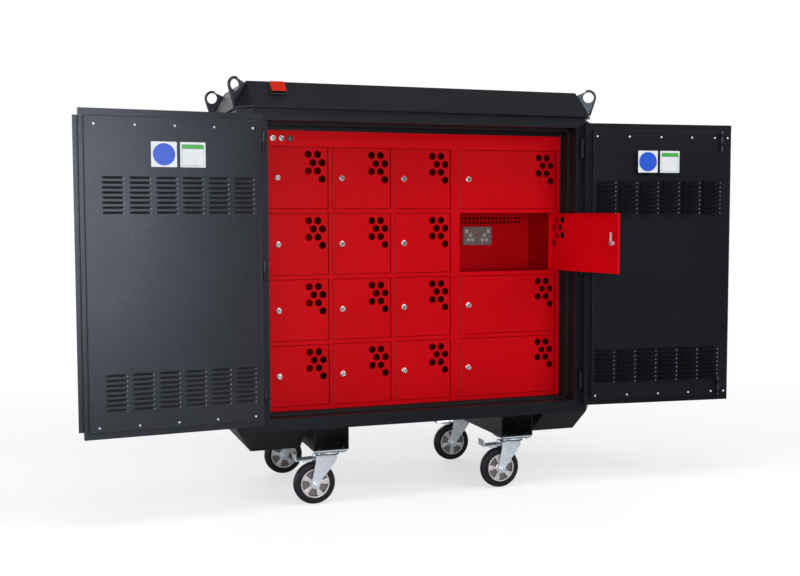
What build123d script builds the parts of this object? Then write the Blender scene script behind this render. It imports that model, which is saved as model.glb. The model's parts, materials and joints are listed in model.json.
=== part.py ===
from build123d import *
import math
import os

os.makedirs("parts", exist_ok=True)

# Battery cabinet on four braked casters: an octagonal steel body with hipped roof and base,
# two insulated outer doors and a nest of sixteen charging lockers. All sizes in millimetres.
# X runs to the right, Y to the back, Z up from the floor. Y = 0 is the face of the lockers.

# Body
front_half = 757.0  # half width of the flat front
side_half = 819.0  # half width over the sides
front_y = -141.0  # plane of the front face
mid_y = 239.5  # middle of the depth
corner_run = 96.0  # how far back each corner panel runs
sheet = 3.0  # body sheet
seam = 0.2  # gap left along each welded seam
floor_z = 335.0  # underside of the body
ceiling_z = 1639.0  # top of the body walls
neck_inset = 14.0  # recess under the eaves
eaves_z = 1658.0  # underside of the roof
lip_height = 9.0  # upright edge of the roof
roof_rise = 110.0
hip_run = 126.0  # how far the front slope leans back
skirt_drop = 100.0
skirt_inner = 545.0  # inner end of each sloped skirt
roof_sheet = 2.5

# Door opening and outer doors
opening_half = 697.0
opening_low = 388.0
opening_high = 1608.0
nest_half = 690.0
door_low = 369.0
door_high = 1629.0
leaf_gap = 4.0  # between the closed leaves
leaf_thick = 30.0
leaf_clear = 1.0  # between a closed leaf and the frame
leaf_sheet = 2.0
rim_width = 34.0
liner_depth = 25.0
liner_low = 396.0
liner_high = 1600.0
liner_sheet = 1.5
cover_strip = 26.0  # strip on the left leaf that covers the gap
axis_x = 720.0
axis_y = -157.0
leaf_inset = 10.0  # from the hinge axis to the leaf's edge
knuckle_r = 8.0
knuckle_len = 40.0
hinge_pin_r = 5.0
hinge_levels = (480.0, 999.0, 1518.0)
running_fit = 0.05
left_open = 175.66
right_open = 173.91

# Louvres of the door liners
louvre_cols = 6
louvre_rows = 8
louvre_pitch_x = 101.6
louvre_pitch_z = 19.0
louvre_len = 76.0
louvre_height = 9.0
louvre_first = 92.0  # first column's middle from the hinge axis
louvre_levels = (548.0, 1302.0)

# Lever handle and slide bolts
handle_x = -60.0
handle_z = 1010.0
handle_r = 8.0
bolt_x = 69.0
bolt_y = -103.0
bolt_r = 5.0
bolt_len = 92.0
bolt_guides = (14.0, 58.0)  # ends of the guides nearest the door's edge
guide_height = 12.0
keep_thick = 4.0
keep_clear = 3.0

# Rubber seal
seal_w = 12.0
seal_front = -80.0
seal_depth = 16.0

# Locker nest
rows = 4
locker_door = 258.0
wide_door = 470.0
rail = 18.0  # frame rail between two openings
rail_depth = 12.0
door_gap = 2.0
side_rail = 21.0
nest_low = 413.0  # bottom of the lowest locker door
locker_depth = 318.0
locker_sheet = 2.0
fascia_high = 1579.0
fascia_depth = 30.0
pan_depth = 14.0
pan_sheet = 1.5
pin_inset = 14.0
pin_r = 3.0
pin_reach = 6.0
open_locker = 101.0
hex_r = 16.7
hex_pitch = 40.0
hex_edge = 25.0  # last vent's middle from the hinge edge
hex_top = 30.0
lock_inset = 40.0
lock_r = 9.0
lock_flange_r = 11.5
lock_knob_len = 15.0
cam_thick = 2.5
cam_width = 12.0
cam_len = 47.0
perf_size = 11.0
perf_pitch = 20.0
perf_drop = 33.0

# Power sockets
socket_w = 146.0
socket_h = 86.0
socket_t = 12.0
socket_rise = 151.0
socket_shift = 15.0
rocker_w = 12.0
rocker_h = 20.0
rocker_gap = 0.4

# Control fittings on the fascia
fitting_z = 1546.0
fitting_x = (-645.0, -609.0, -573.0)
fitting_r = 12.0
barrel_r = 9.0
button_r = 6.0

# Lifting eyes
eye_hole_r = 24.0
eye_plate = 10.0
eye_rim = 5.0  # from the hole to the middle of the edge bar
eye_bar_r = 6.0
eye_out = 46.0  # hole's middle, level from the roof's hip
eye_z = 1756.0
eye_foot = 8.0
eye_head = 12.0

# Fork pockets and casters
pocket_x = 430.0
pocket_w = 152.0
pocket_wall = 5.0
pocket_back = 34.0  # set back from the front face
caster_y = 293.0  # from the middle of the depth
wheel_r = 90.0
tyre_w = 46.0
rim_r = 60.0
hub_r = 18.0
trail = 63.0
axle_r = 8.0
plate_w = 138.0
plate_d = 110.0
plate_t = 8.0
bolt_pitch_x = 105.0
bolt_pitch_y = 80.0
caster_bolt_r = 5.0
race_r = 45.0
race_t = 10.0
race_gap = 0.4
crown_t = 6.0
crown_half = 34.0
kingpin_r = 8.0
leg_t = 4.0
leg_gap = 31.0
leg_fold = 21.0  # from the axle to the fold of each leg
waist_x = 6.0  # where the folded legs clear the tyre
waist_half = 29.5
heel_half = 18.0  # half width of the web that joins the legs
windows = 8
pedal_x = 48.0
pedal_z = 198.0
pedal_pin_r = 4.0
pedal_tip = 150.0

# Marker lamp on the roof
marker_x = -637.0
marker_z = 1739.5
marker_w = 62.0
marker_h = 66.0
marker_rim = 5.0
marker_base_t = 8.0
marker_lens_t = 12.0

caster_h = floor_z - skirt_drop
fold_z = eaves_z + lip_height
roof_z = fold_z + roof_rise
half_depth = mid_y - front_y
side_y = half_depth - corner_run
top_y = half_depth - hip_run
side_run = side_half - front_half
pitch = locker_door + 2 * door_gap + rail
narrow_left = [-nest_half + side_rail + door_gap + i * pitch for i in range(3)]
seam_x = narrow_left[2] + locker_door + door_gap + side_rail
wide_left = seam_x + side_rail + door_gap
row_low = [nest_low + i * pitch for i in range(rows)]
back_y = rail_depth + locker_depth
lockers_top = row_low[-1] + locker_door + door_gap
skin_y = front_y - leaf_clear - leaf_thick
seat_y = front_y - leaf_clear
pin_y = pan_depth / 2
pieces = {}


def block(x0, x1, y0, y1, z0, z1, mode=Mode.ADD):
    """A box between two corners, added to or cut from the open part."""
    with Locations(((x0 + x1) / 2, (y0 + y1) / 2, (z0 + z1) / 2)):
        Box(abs(x1 - x0), abs(y1 - y0), abs(z1 - z0), mode=mode)


def upright_rod(radius, x, y, z0, z1, mode=Mode.ADD):
    """An upright cylinder between two levels."""
    with Locations((x, y, (z0 + z1) / 2)):
        Cylinder(radius, abs(z1 - z0), mode=mode)


def level_rod(radius, x, z, y0, y1, mode=Mode.ADD):
    """A cylinder along Y between two depths."""
    with Locations((x, (y0 + y1) / 2, z)):
        Cylinder(radius, abs(y1 - y0), rotation=(90, 0, 0), mode=mode)


def plan_corners(inset=0.0):
    """Eight corners of the body's plan, in order round it."""
    turn = math.atan2(side_run, corner_run)
    fx = front_half - inset * math.tan((math.pi / 2 - turn) / 2)
    sy = side_y - inset * math.tan(turn / 2)
    fy = half_depth - inset
    sx = side_half - inset
    quarter = [(fx, -fy), (sx, -sy), (sx, sy), (fx, fy)]
    whole = quarter + [(-x, y) for x, y in reversed(quarter)]
    return [(x, mid_y + y) for x, y in whole]


def hip_planes(z0, rise, up):
    """Planes of a hipped end: two ends, two long slopes and four corner facets."""
    planes = []
    for sx in (-1, 1):
        planes.append(Plane(origin=(sx * side_half, mid_y, z0), z_dir=(sx * rise, 0, up * side_run)))
    for sy in (-1, 1):
        planes.append(
            Plane(origin=(0, mid_y + sy * half_depth, z0), z_dir=(0, sy * rise, up * hip_run))
        )
    for sx in (-1, 1):
        for sy in (-1, 1):
            a = Vector(sx * front_half, mid_y + sy * half_depth, z0)
            b = Vector(sx * side_half, mid_y + sy * side_y, z0)
            c = Vector(sx * front_half, mid_y + sy * top_y, z0 + up * rise)
            normal = (b - a).cross(c - a)
            if normal.dot(Vector(sx, sy, 0)) < 0:
                normal = normal * -1
            planes.append(Plane(origin=a, z_dir=normal))
    return planes


def keep(name, part):
    """Store a finished piece under its node name."""
    part.label = name
    pieces[name] = part


# Body walls: seven upright panels, a floor and a ceiling, with a neck under the eaves.
with BuildPart() as cabinet_shell:
    with BuildSketch(Plane.XY.offset(floor_z + sheet + seam)):
        Polygon(*plan_corners(), align=None)
        Polygon(*plan_corners(sheet), align=None, mode=Mode.SUBTRACT)
    extrude(amount=ceiling_z - floor_z - 2 * (sheet + seam))
    for (x0, y0), (x1, y1) in zip(plan_corners(-sheet), plan_corners(2 * sheet)):
        along = math.degrees(math.atan2(y1 - y0, x1 - x0))
        middle = ((x0 + x1) / 2, (y0 + y1) / 2, (floor_z + ceiling_z) / 2)
        with Locations(Location(middle, (0, 0, along))):
            Box(6 * sheet, seam, ceiling_z - floor_z, mode=Mode.SUBTRACT)
    block(
        -front_half,
        front_half,
        front_y - 1,
        front_y + sheet + seam,
        floor_z + sheet,
        ceiling_z - sheet,
        Mode.SUBTRACT,
    )
    for level in (floor_z, ceiling_z - sheet):
        with BuildSketch(Plane.XY.offset(level)):
            Polygon(*plan_corners(), align=None)
        extrude(amount=sheet)
    with BuildSketch(Plane.XY.offset(ceiling_z + seam)):
        Polygon(*plan_corners(neck_inset), align=None)
        Polygon(*plan_corners(neck_inset + sheet), align=None, mode=Mode.SUBTRACT)
    extrude(amount=eaves_z - ceiling_z - 2 * seam)
keep("cabinet_shell", cabinet_shell.part)

# Door surround: four folded members, each with a face, a deep reveal and an inner return.
face_back = front_y + sheet
return_y = -seam - sheet
member_low = floor_z + sheet + seam
member_high = ceiling_z - sheet - seam
span = opening_half - seam
with BuildPart() as door_frame:
    for side in (-1, 1):
        with BuildSketch(Plane.XY.offset(member_low)):
            with BuildLine():
                Polyline(
                    (side * (front_half - seam), front_y),
                    (side * opening_half, front_y),
                    (side * opening_half, return_y),
                    (side * (nest_half + seam), return_y),
                    (side * (nest_half + seam), return_y + sheet),
                    (side * (opening_half + sheet), return_y + sheet),
                    (side * (opening_half + sheet), face_back),
                    (side * (front_half - seam), face_back),
                    close=True,
                )
            make_face()
        extrude(amount=member_high - member_low)
    ends = (
        (opening_low, member_low, nest_low - door_gap - rail - seam, -1),
        (opening_high, member_high, fascia_high + seam, 1),
    )
    for edge, outer, inner, way in ends:
        block(-span, span, front_y, face_back, edge, outer)
        block(-span, span, face_back, return_y - seam, edge, edge + way * sheet)
        block(-nest_half, nest_half, return_y - seam, return_y + sheet, edge + way * sheet, inner)
    upright_rod(bolt_r + 0.6, bolt_x, bolt_y, floor_z, ceiling_z, Mode.SUBTRACT)
keep("door_frame", door_frame.part)

# Hipped roof: an eight-sided tray, cut back to its slopes and hollowed from below, with a
# flange turned in under the eaves that stands on the neck.
with BuildPart() as roof_cap:
    with BuildSketch(Plane.XY.offset(eaves_z)):
        Polygon(*plan_corners(), align=None)
    extrude(amount=roof_z - eaves_z)
    for plane in hip_planes(fold_z, roof_rise, 1):
        split(bisect_by=plane, keep=Keep.BOTTOM)
    roof_solid = roof_cap.part
    under = roof_cap.faces().sort_by(Axis.Z)[0]
    offset(amount=-roof_sheet, openings=under, kind=Kind.INTERSECTION)
    with BuildSketch(Plane.XY.offset(eaves_z)):
        Polygon(*plan_corners(roof_sheet / 2), align=None)
        Polygon(*plan_corners(neck_inset + 2 * sheet), align=None, mode=Mode.SUBTRACT)
    extrude(amount=sheet)
keep("roof_cap", roof_cap.part)

# Sloped skirts at both ends of the base, open to the floor sheet above them.
with BuildPart() as base_skirts:
    with BuildSketch(Plane.XY.offset(caster_h)):
        Polygon(*plan_corners(), align=None)
    extrude(amount=skirt_drop - seam)
    for plane in hip_planes(floor_z, skirt_drop, -1):
        split(bisect_by=plane, keep=Keep.BOTTOM)
    split(bisect_by=Plane.YZ.offset(skirt_inner), keep=Keep.TOP)
    above = base_skirts.faces().sort_by(Axis.Z)[-1]
    offset(amount=-sheet, openings=above, kind=Kind.INTERSECTION)
    mirror(about=Plane.YZ)
keep("base_skirts", base_skirts.part)

# Two rectangular fork pockets under the floor, each of four plates.
pocket_y0 = front_y + pocket_back
pocket_y1 = 2 * mid_y - pocket_y0
pocket_top = floor_z - seam
caster_places = [(sx * pocket_x, mid_y + sy * caster_y) for sy in (-1, 1) for sx in (-1, 1)]
bolt_places = [
    (x + sx * bolt_pitch_x / 2, y + sy * bolt_pitch_y / 2)
    for x, y in caster_places
    for sx in (-1, 1)
    for sy in (-1, 1)
]
with BuildPart() as fork_pockets:
    for x in (-pocket_x, pocket_x):
        x0 = x - pocket_w / 2
        x1 = x + pocket_w / 2
        block(x0, x1, pocket_y0, pocket_y1, caster_h, caster_h + pocket_wall)
        block(x0, x1, pocket_y0, pocket_y1, pocket_top - pocket_wall, pocket_top)
        low = caster_h + pocket_wall + seam
        high = pocket_top - pocket_wall - seam
        block(x0, x0 + pocket_wall, pocket_y0, pocket_y1, low, high)
        block(x1 - pocket_wall, x1, pocket_y0, pocket_y1, low, high)
    for x, y in bolt_places:
        upright_rod(caster_bolt_r + 0.5, x, y, caster_h - 1, caster_h + pocket_wall + 1, Mode.SUBTRACT)
keep("fork_pockets", fork_pockets.part)


def lifting_eye(sx, sy):
    """One eye: a drop-shaped plate with a round-bar edge, upright on a hip of the roof."""
    hip_len = math.hypot(side_run, side_y - top_y)
    slope = hip_len / roof_rise
    share = (eye_z - fold_z) / roof_rise
    out = (side_run / hip_len, (side_y - top_y) / hip_len)
    centre_x = side_half - side_run * share + out[0] * eye_out
    centre_y = side_y + (top_y - side_y) * share + out[1] * eye_out
    ring = eye_hole_r + eye_rim
    along = (sx * out[0], sy * out[1])
    plane = Plane(
        origin=(sx * centre_x, mid_y + sy * centre_y, eye_z),
        x_dir=(along[0], along[1], 0),
        z_dir=(along[1], -along[0], 0),
    )
    foot_z = fold_z + eye_foot - eye_z
    head_z = roof_z - eye_head - eye_z
    tip = (-eye_out - slope * foot_z, foot_z)
    head = (-eye_out - slope * head_z, head_z)

    def tangent(point, side):
        gap = math.hypot(*point)
        turn = math.atan2(point[1], point[0]) + side * math.acos(ring / gap)
        return (ring * math.cos(turn), ring * math.sin(turn))

    low = tangent(tip, 1)
    high = tangent(head, -1)
    crest = (ring * math.cos(0.8), ring * math.sin(0.8))
    with BuildPart() as eye:
        with BuildSketch(plane):
            with BuildLine():
                Line(tip, low)
                ThreePointArc(low, crest, high)
                Polyline(high, head, tip)
            make_face()
        extrude(amount=eye_plate / 2, both=True)
        with BuildLine(plane) as rim:
            Line(tip, low)
            ThreePointArc(low, crest, high)
        with BuildSketch(Plane(origin=rim.line @ 0, z_dir=rim.line % 0)):
            Circle(eye_bar_r)
        sweep(path=rim.line)
        with Locations(plane):
            Cylinder(eye_hole_r, 4 * eye_bar_r, mode=Mode.SUBTRACT)
    return eye.part


eyes = [lifting_eye(sx, sy) for sx in (-1, 1) for sy in (-1, 1)]
with BuildPart() as lifting_eyes:
    add(eyes)
    add(roof_solid, mode=Mode.SUBTRACT)
keep("lifting_eyes", lifting_eyes.part)

# Marker lamp: a black base and a ribbed lens, both square to the front slope.
marker_share = (marker_z - fold_z) / roof_rise
marker_plane = Plane(
    origin=(marker_x, front_y + hip_run * marker_share, marker_z),
    x_dir=(1, 0, 0),
    z_dir=(0, -roof_rise, hip_run),
)
marker_axis = Axis(origin=marker_plane.origin, direction=marker_plane.z_dir)
with BuildPart() as lamp_base:
    with BuildSketch(marker_plane.offset(seam)):
        RectangleRounded(marker_w + 2 * marker_rim, marker_h + 2 * marker_rim, 6)
    extrude(amount=marker_base_t)
    chamfer(lamp_base.faces().sort_by(marker_axis)[-1].edges(), 2)
keep("lamp_base", lamp_base.part)
with BuildPart() as lamp_lens:
    with BuildSketch(marker_plane.offset(2 * seam + marker_base_t)):
        RectangleRounded(marker_w, marker_h, 5)
    extrude(amount=marker_lens_t)
    fillet(lamp_lens.faces().sort_by(marker_axis)[-1].edges(), 3)
keep("lamp_lens", lamp_lens.part)

# Fixed half of the outer hinges: a knuckle with its pin, welded to the jamb.
with BuildPart() as hinge_mounts:
    for side in (-1, 1):
        for level in hinge_levels:
            x = side * axis_x
            upright_rod(knuckle_r, x, axis_y, level - knuckle_len, level)
            upright_rod(hinge_pin_r, x, axis_y, level - 1, level + knuckle_len - 3)
            block(x - side * 2, x + side * knuckle_r, axis_y, front_y, level - knuckle_len, level)
keep("hinge_mounts", hinge_mounts.part)


def door_skin(side):
    """Outer pan of one leaf, closed, with its rim folded in and its hinge knuckles."""
    x0, x1 = sorted((side * (axis_x - leaf_inset), side * leaf_gap / 2))
    inside = leaf_sheet
    with BuildPart() as skin:
        block(x0, x1, skin_y, seat_y, door_low, door_high)
        block(
            x0 + inside,
            x1 - inside,
            skin_y + inside,
            seat_y - inside,
            door_low + inside,
            door_high - inside,
            Mode.SUBTRACT,
        )
        block(
            x0 + rim_width,
            x1 - rim_width,
            seat_y - 2 * inside,
            seat_y + 1,
            door_low + rim_width,
            door_high - rim_width,
            Mode.SUBTRACT,
        )
        fillet(skin.edges().filter_by(Axis.Z).group_by(Axis.Y)[0], leaf_sheet * 0.9)
        for level in hinge_levels:
            low = level + 0.5
            x = side * axis_x
            upright_rod(knuckle_r, x, axis_y, low, low + knuckle_len)
            block(x - side * (leaf_inset + 1), x, axis_y - 2, axis_y + 2, low, low + knuckle_len)
            upright_rod(
                hinge_pin_r + running_fit, x, axis_y, low - 1, low + knuckle_len + 1, Mode.SUBTRACT
            )
        if side < 0:
            lap = x1 - 8
            edge = lap + cover_strip
            block(lap, edge, skin_y - leaf_sheet, skin_y, door_low + 25, door_high - 25)
            block(x1 + 1, edge + 1, skin_y - 0.4, skin_y + 1, door_low, door_high, Mode.SUBTRACT)
            level_rod(
                handle_r + running_fit, handle_x, handle_z, skin_y - 4, skin_y + 4, Mode.SUBTRACT
            )
    return skin.part


def door_liner(side):
    """Inner tray of one leaf with its two fields of louvre slots."""
    x0, x1 = sorted((side * (axis_x - 36), side * (axis_x - 702)))
    face = seat_y + liner_depth
    with BuildPart() as liner:
        block(x0, x1, seat_y, face, liner_low, liner_high)
        fillet(liner.edges().filter_by(Axis.Y), 6)
        fillet(liner.faces().sort_by(Axis.Y)[-1].edges(), 3)
        rear = liner.faces().sort_by(Axis.Y)[0]
        offset(amount=-liner_sheet, openings=rear, kind=Kind.INTERSECTION)
        for level in louvre_levels:
            first = side * (axis_x - louvre_first)
            middle = first - side * louvre_pitch_x * (louvre_cols - 1) / 2
            with Locations(Location((middle, face, level), (90, 0, 0))):
                with GridLocations(louvre_pitch_x, louvre_pitch_z, louvre_cols, louvre_rows):
                    Box(louvre_len, louvre_height, 4 * liner_sheet, mode=Mode.SUBTRACT)
        if side > 0:
            for inset in bolt_guides:
                for low in (liner_low + inset, liner_high - inset - guide_height):
                    high = low + guide_height
                    block(bolt_x - 10, bolt_x + 10, face - 0.5, bolt_y + bolt_r + 3, low, high)
                    upright_rod(
                        bolt_r + running_fit, bolt_x, bolt_y, low - 1, high + 1, Mode.SUBTRACT
                    )
    return liner.part


def swing(part, side, turned):
    """Turn a closed piece of an outer door to its open place."""
    return part.rotate(Axis((side * axis_x, axis_y, 0), (0, 0, 1)), side * turned)


keep("left_door_skin", swing(door_skin(-1), -1, left_open))
keep("left_door_liner", swing(door_liner(-1), -1, left_open))
keep("right_door_skin", swing(door_skin(1), 1, right_open))
keep("right_door_liner", swing(door_liner(1), 1, right_open))

# Lever handle on the outside of the left leaf, with its rose and spindle.
with BuildPart() as door_handle:
    level_rod(22, handle_x, handle_z, skin_y - 8, skin_y - 0.3)
    level_rod(10, handle_x, handle_z, skin_y - 34, skin_y - 1)
    level_rod(handle_r, handle_x, handle_z, skin_y - 1, skin_y + 8)
    with BuildSketch(Plane.XZ.offset(-skin_y + 24)):
        with Locations((handle_x - 52, handle_z)):
            SlotOverall(124, 20)
    extrude(amount=10)
keep("door_handle", swing(door_handle.part, -1, left_open))


def slide_bolt(top):
    """One shoot bolt of the right leaf, drawn back, with its finger peg."""
    way = 1 if top else -1
    tip = opening_high - keep_thick - keep_clear if top else opening_low + keep_thick + keep_clear
    liner_end = liner_high if top else liner_low
    peg = liner_end - way * (bolt_guides[1] - 4.5)
    with BuildPart() as bolt:
        upright_rod(bolt_r, bolt_x, bolt_y, tip - way * bolt_len, tip)
        chamfer(bolt.faces().sort_by(Axis.Z)[-1 if top else 0].edges(), 1)
        level_rod(3.5, bolt_x, peg, bolt_y, bolt_y + 18)
    return bolt.part


keep("slide_bolt_top", swing(slide_bolt(True), 1, right_open))
keep("slide_bolt_bottom", swing(slide_bolt(False), 1, right_open))

# Keeps that take the two bolts, on the head and the sill of the opening.
with BuildPart() as bolt_keeps:
    for low in (opening_low, opening_high - keep_thick):
        block(bolt_x - 20, bolt_x + 20, bolt_y - 14, bolt_y + 21, low, low + keep_thick)
    upright_rod(bolt_r + 0.6, bolt_x, bolt_y, floor_z, ceiling_z, Mode.SUBTRACT)
keep("bolt_keeps", bolt_keeps.part)

# Rubber seal round the inside of the reveal.
opening_mid = (opening_low + opening_high) / 2
opening_height = opening_high - opening_low
with BuildPart() as door_seal:
    with BuildSketch(Plane.XZ.offset(-seal_front)):
        with Locations((0, opening_mid)):
            RectangleRounded(2 * (opening_half - seam), opening_height - 2 * seam, 25)
            RectangleRounded(
                2 * (opening_half - seal_w), opening_height - 2 * seal_w, 13, mode=Mode.SUBTRACT
            )
    extrude(amount=-seal_depth)
keep("door_seal", door_seal.part)


def locker_upright(x, left, right, low, high):
    """A locker wall with its front rail: a folded channel with the wall behind it."""
    with BuildSketch(Plane.XY.offset(low)) as profile:
        with Locations((x + (right - left) / 2, locker_sheet / 2)):
            Rectangle(left + right, locker_sheet)
        for edge in (x - left + locker_sheet / 2, x + right - locker_sheet / 2):
            with Locations((edge, rail_depth / 2)):
                Rectangle(locker_sheet, rail_depth)
        with Locations((x, (locker_sheet / 2 + back_y) / 2)):
            Rectangle(locker_sheet, back_y - locker_sheet / 2)
    extrude(profile.sketch, amount=high - low)


def locker_shelf(x0, x1, wall0, wall1, z):
    """A locker shelf with its front rail, between two uprights."""
    half = locker_sheet / 2
    with BuildSketch(Plane.YZ.offset(x0 + seam)) as profile:
        with Locations((half, z)):
            Rectangle(locker_sheet, rail)
        for edge in (z - rail / 2 + half, z + rail / 2 - half):
            with Locations((rail_depth / 2, edge)):
                Rectangle(rail_depth, locker_sheet)
        with Locations(((half + rail_depth + 1) / 2, z)):
            Rectangle(rail_depth + 1 - half, locker_sheet)
    extrude(profile.sketch, amount=x1 - x0 - 2 * seam)
    block(wall0 + half + seam, wall1 - half - seam, rail_depth + seam, back_y, z - half, z + half)


def locker_unit(walls, doors, width):
    """One column unit: uprights, shelves, top, back and the two bearers under it."""
    low = nest_low - door_gap - rail
    high = lockers_top - seam
    left_end = walls[0][0] - walls[0][1]
    right_end = walls[-1][0] + walls[-1][2]
    deck = back_y + seam + locker_sheet
    with BuildPart() as unit:
        for x, left, right in walls:
            locker_upright(x, left, right, low, high)
        for index, left in enumerate(doors):
            wall0 = walls[index][0]
            wall1 = walls[index + 1][0]
            pin_x = left + width - pin_inset
            for z in row_low:
                locker_shelf(
                    left - door_gap, left + width + door_gap, wall0, wall1, z - door_gap - rail / 2
                )
                upright_rod(pin_r + running_fit, pin_x, pin_y, z - 5, z, Mode.SUBTRACT)
            for z in row_low[:-1]:
                top = z + locker_door
                upright_rod(pin_r + running_fit, pin_x, pin_y, top, top + 5, Mode.SUBTRACT)
        block(left_end, right_end, back_y + seam, deck, low, high)
        block(left_end, right_end, fascia_depth + seam, deck, lockers_top, lockers_top + locker_sheet)
        bearer_low = floor_z + sheet + seam
        for y in (fascia_depth, back_y - 2 * fascia_depth):
            block(left_end + 4, right_end - 4, y, y + fascia_depth, bearer_low, low - seam)
            block(
                left_end,
                right_end,
                y + locker_sheet,
                y + fascia_depth - locker_sheet,
                bearer_low - 1,
                low - seam - locker_sheet,
                Mode.SUBTRACT,
            )
    return unit.part


half_wall = locker_sheet / 2
outer_rail = side_rail - half_wall
narrow_walls = [(-nest_half + half_wall, half_wall, outer_rail)]
for left in narrow_left[:2]:
    narrow_walls.append((left + locker_door + door_gap + rail / 2, rail / 2, rail / 2))
narrow_walls.append((seam_x - seam / 2 - half_wall, outer_rail - seam / 2, half_wall))
wide_walls = [
    (seam_x + seam / 2 + half_wall, half_wall, outer_rail - seam / 2),
    (wide_left + wide_door + door_gap + outer_rail, outer_rail, half_wall),
]
keep("locker_unit_narrow", locker_unit(narrow_walls, narrow_left, locker_door))
wide_unit = locker_unit(wide_walls, [wide_left], wide_door)
with BuildPart() as locker_unit_wide:
    add(wide_unit)
    level = row_low[2] + locker_door - perf_drop
    count = int(wide_door / perf_pitch) - 1
    with Locations(Location((wide_left + wide_door / 2, back_y, level), (90, 0, 0))):
        with GridLocations(perf_pitch, perf_pitch, count, 2):
            Box(perf_size, perf_size, 6 * locker_sheet, mode=Mode.SUBTRACT)
keep("locker_unit_wide", locker_unit_wide.part)

# Fascia above the lockers: a folded pan with three round holes for the controls.
with BuildPart() as fascia_panel:
    block(-nest_half, nest_half, 0, fascia_depth, lockers_top, fascia_high)
    rear = fascia_panel.faces().sort_by(Axis.Y)[-1]
    offset(amount=-locker_sheet, openings=rear, kind=Kind.INTERSECTION)
    for x in fitting_x:
        level_rod(barrel_r + 0.3, x, fitting_z, -1, 5, Mode.SUBTRACT)
    for right in [x + locker_door for x in narrow_left] + [wide_left + wide_door]:
        upright_rod(
            pin_r + running_fit,
            right - pin_inset,
            pin_y,
            lockers_top - 1,
            lockers_top + 5,
            Mode.SUBTRACT,
        )
keep("fascia_panel", fascia_panel.part)

# Indicator, button collar and key switch, each with its body behind the panel.
with BuildPart() as panel_fittings:
    for x in fitting_x:
        level_rod(fitting_r, x, fitting_z, -seam - 3, -seam)
        level_rod(barrel_r, x, fitting_z, -seam - 1, 22)
    level_rod(barrel_r - 1, fitting_x[0], fitting_z, -6, -3)
    level_rod(button_r + running_fit, fitting_x[1], fitting_z, -10, 14, Mode.SUBTRACT)
    block(fitting_x[2] - 1, fitting_x[2] + 1, -4, -2, fitting_z - 6, fitting_z + 6, Mode.SUBTRACT)
keep("panel_fittings", panel_fittings.part)

with BuildPart() as panel_button:
    level_rod(button_r, fitting_x[1], fitting_z, -7, 8)
    chamfer(panel_button.faces().sort_by(Axis.Y)[0].edges(), 1)
keep("panel_button", panel_button.part)


def pan_door(left, low, width):
    """A locker door: a shallow pan with seven hexagonal vents and two pivot pins, closed."""
    right = left + width
    top = low + locker_door
    with BuildPart() as door:
        block(left, right, 0, pan_depth, low, top)
        rear = door.faces().sort_by(Axis.Y)[-1]
        offset(amount=-pan_sheet, openings=rear, kind=Kind.INTERSECTION)
        vents = []
        for line in range(4):
            shift = 0 if line % 2 else hex_pitch / 2
            z = top - hex_top - line * hex_pitch * math.sqrt(3) / 2
            for copy in range(1 if line == 3 else 2):
                vents.append((right - hex_edge - shift - copy * hex_pitch, z))
        with BuildSketch(Plane.XZ):
            with Locations(*vents):
                RegularPolygon(hex_r, 6, rotation=30)
        extrude(amount=-2 * pan_sheet, mode=Mode.SUBTRACT)
        upright_rod(pin_r, right - pin_inset, pin_y, low - pin_reach, low + pan_sheet)
        upright_rod(pin_r, right - pin_inset, pin_y, top - pan_sheet, top + pin_reach)
    return door.part


def lock_body(x, z):
    """A cam lock, unlocked: knob, flange and barrel, with the blade upright behind the door."""
    cam_y = pan_depth + 0.5
    level_rod(lock_r, x, z, -lock_knob_len, cam_y + cam_thick)
    level_rod(lock_flange_r, x, z, -seam - 3, -seam)
    block(x - cam_width / 2, x + cam_width / 2, cam_y, cam_y + cam_thick, z, z + cam_len)


for row in range(rows):
    name = "r" + str(rows - row)
    low = row_low[row]
    middle = low + locker_door / 2
    for column, left in enumerate(narrow_left):
        door = pan_door(left, low, locker_door)
        with BuildPart() as narrow:
            add(door)
            lock_body(left + lock_inset, middle)
        keep("locker_door_" + name + "c" + str(column + 1), narrow.part)
    door = pan_door(wide_left, low, wide_door)
    with BuildPart() as wide:
        add(door)
        level_rod(lock_r + running_fit, wide_left + lock_inset, middle, -1, 5, Mode.SUBTRACT)
    with BuildPart() as lock:
        lock_body(wide_left + lock_inset, middle)
    hinge = Axis((wide_left + wide_door - pin_inset, pin_y, 0), (0, 0, 1))
    turned = open_locker if row == 2 else 0
    keep("locker_door_" + name + "c4", wide.part.rotate(hinge, turned))
    keep("lock_" + name + "c4", lock.part.rotate(hinge, turned))


def socket_place(column, row):
    """Middle of the power socket in one locker."""
    if column < 3:
        return narrow_left[column] + locker_door / 2, row_low[row] + socket_rise
    return wide_left + wide_door / 2 - socket_shift, row_low[row] + socket_rise


# Double power sockets on the back walls; the one in the open locker has its rockers and holes.
rocker_places = [(sx * (socket_w / 2 - 17), socket_h / 2 - 20) for sx in (-1, 1)]
socket_front = back_y - socket_t
with BuildPart() as socket_outlets:
    for row in range(rows):
        for column in range(4):
            x, z = socket_place(column, row)
            with BuildSketch(Plane.XZ.offset(-back_y)):
                with Locations((x, z)):
                    Rectangle(socket_w, socket_h)
            extrude(amount=socket_t)
    x, z = socket_place(3, 2)
    for dx, dz in rocker_places:
        block(
            x + dx - rocker_w / 2 - rocker_gap,
            x + dx + rocker_w / 2 + rocker_gap,
            socket_front - 1,
            back_y - 3,
            z + dz - rocker_h / 2 - rocker_gap,
            z + dz + rocker_h / 2 + rocker_gap,
            Mode.SUBTRACT,
        )
    with BuildSketch(Plane.XZ.offset(-socket_front)):
        for dx in (-36, 36):
            with Locations((x + dx, z + 4)):
                Rectangle(4.2, 8.2)
            with Locations((x + dx - 11, z - 18), (x + dx + 11, z - 18)):
                Rectangle(6.6, 4.2)
    extrude(amount=-9, mode=Mode.SUBTRACT)
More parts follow.
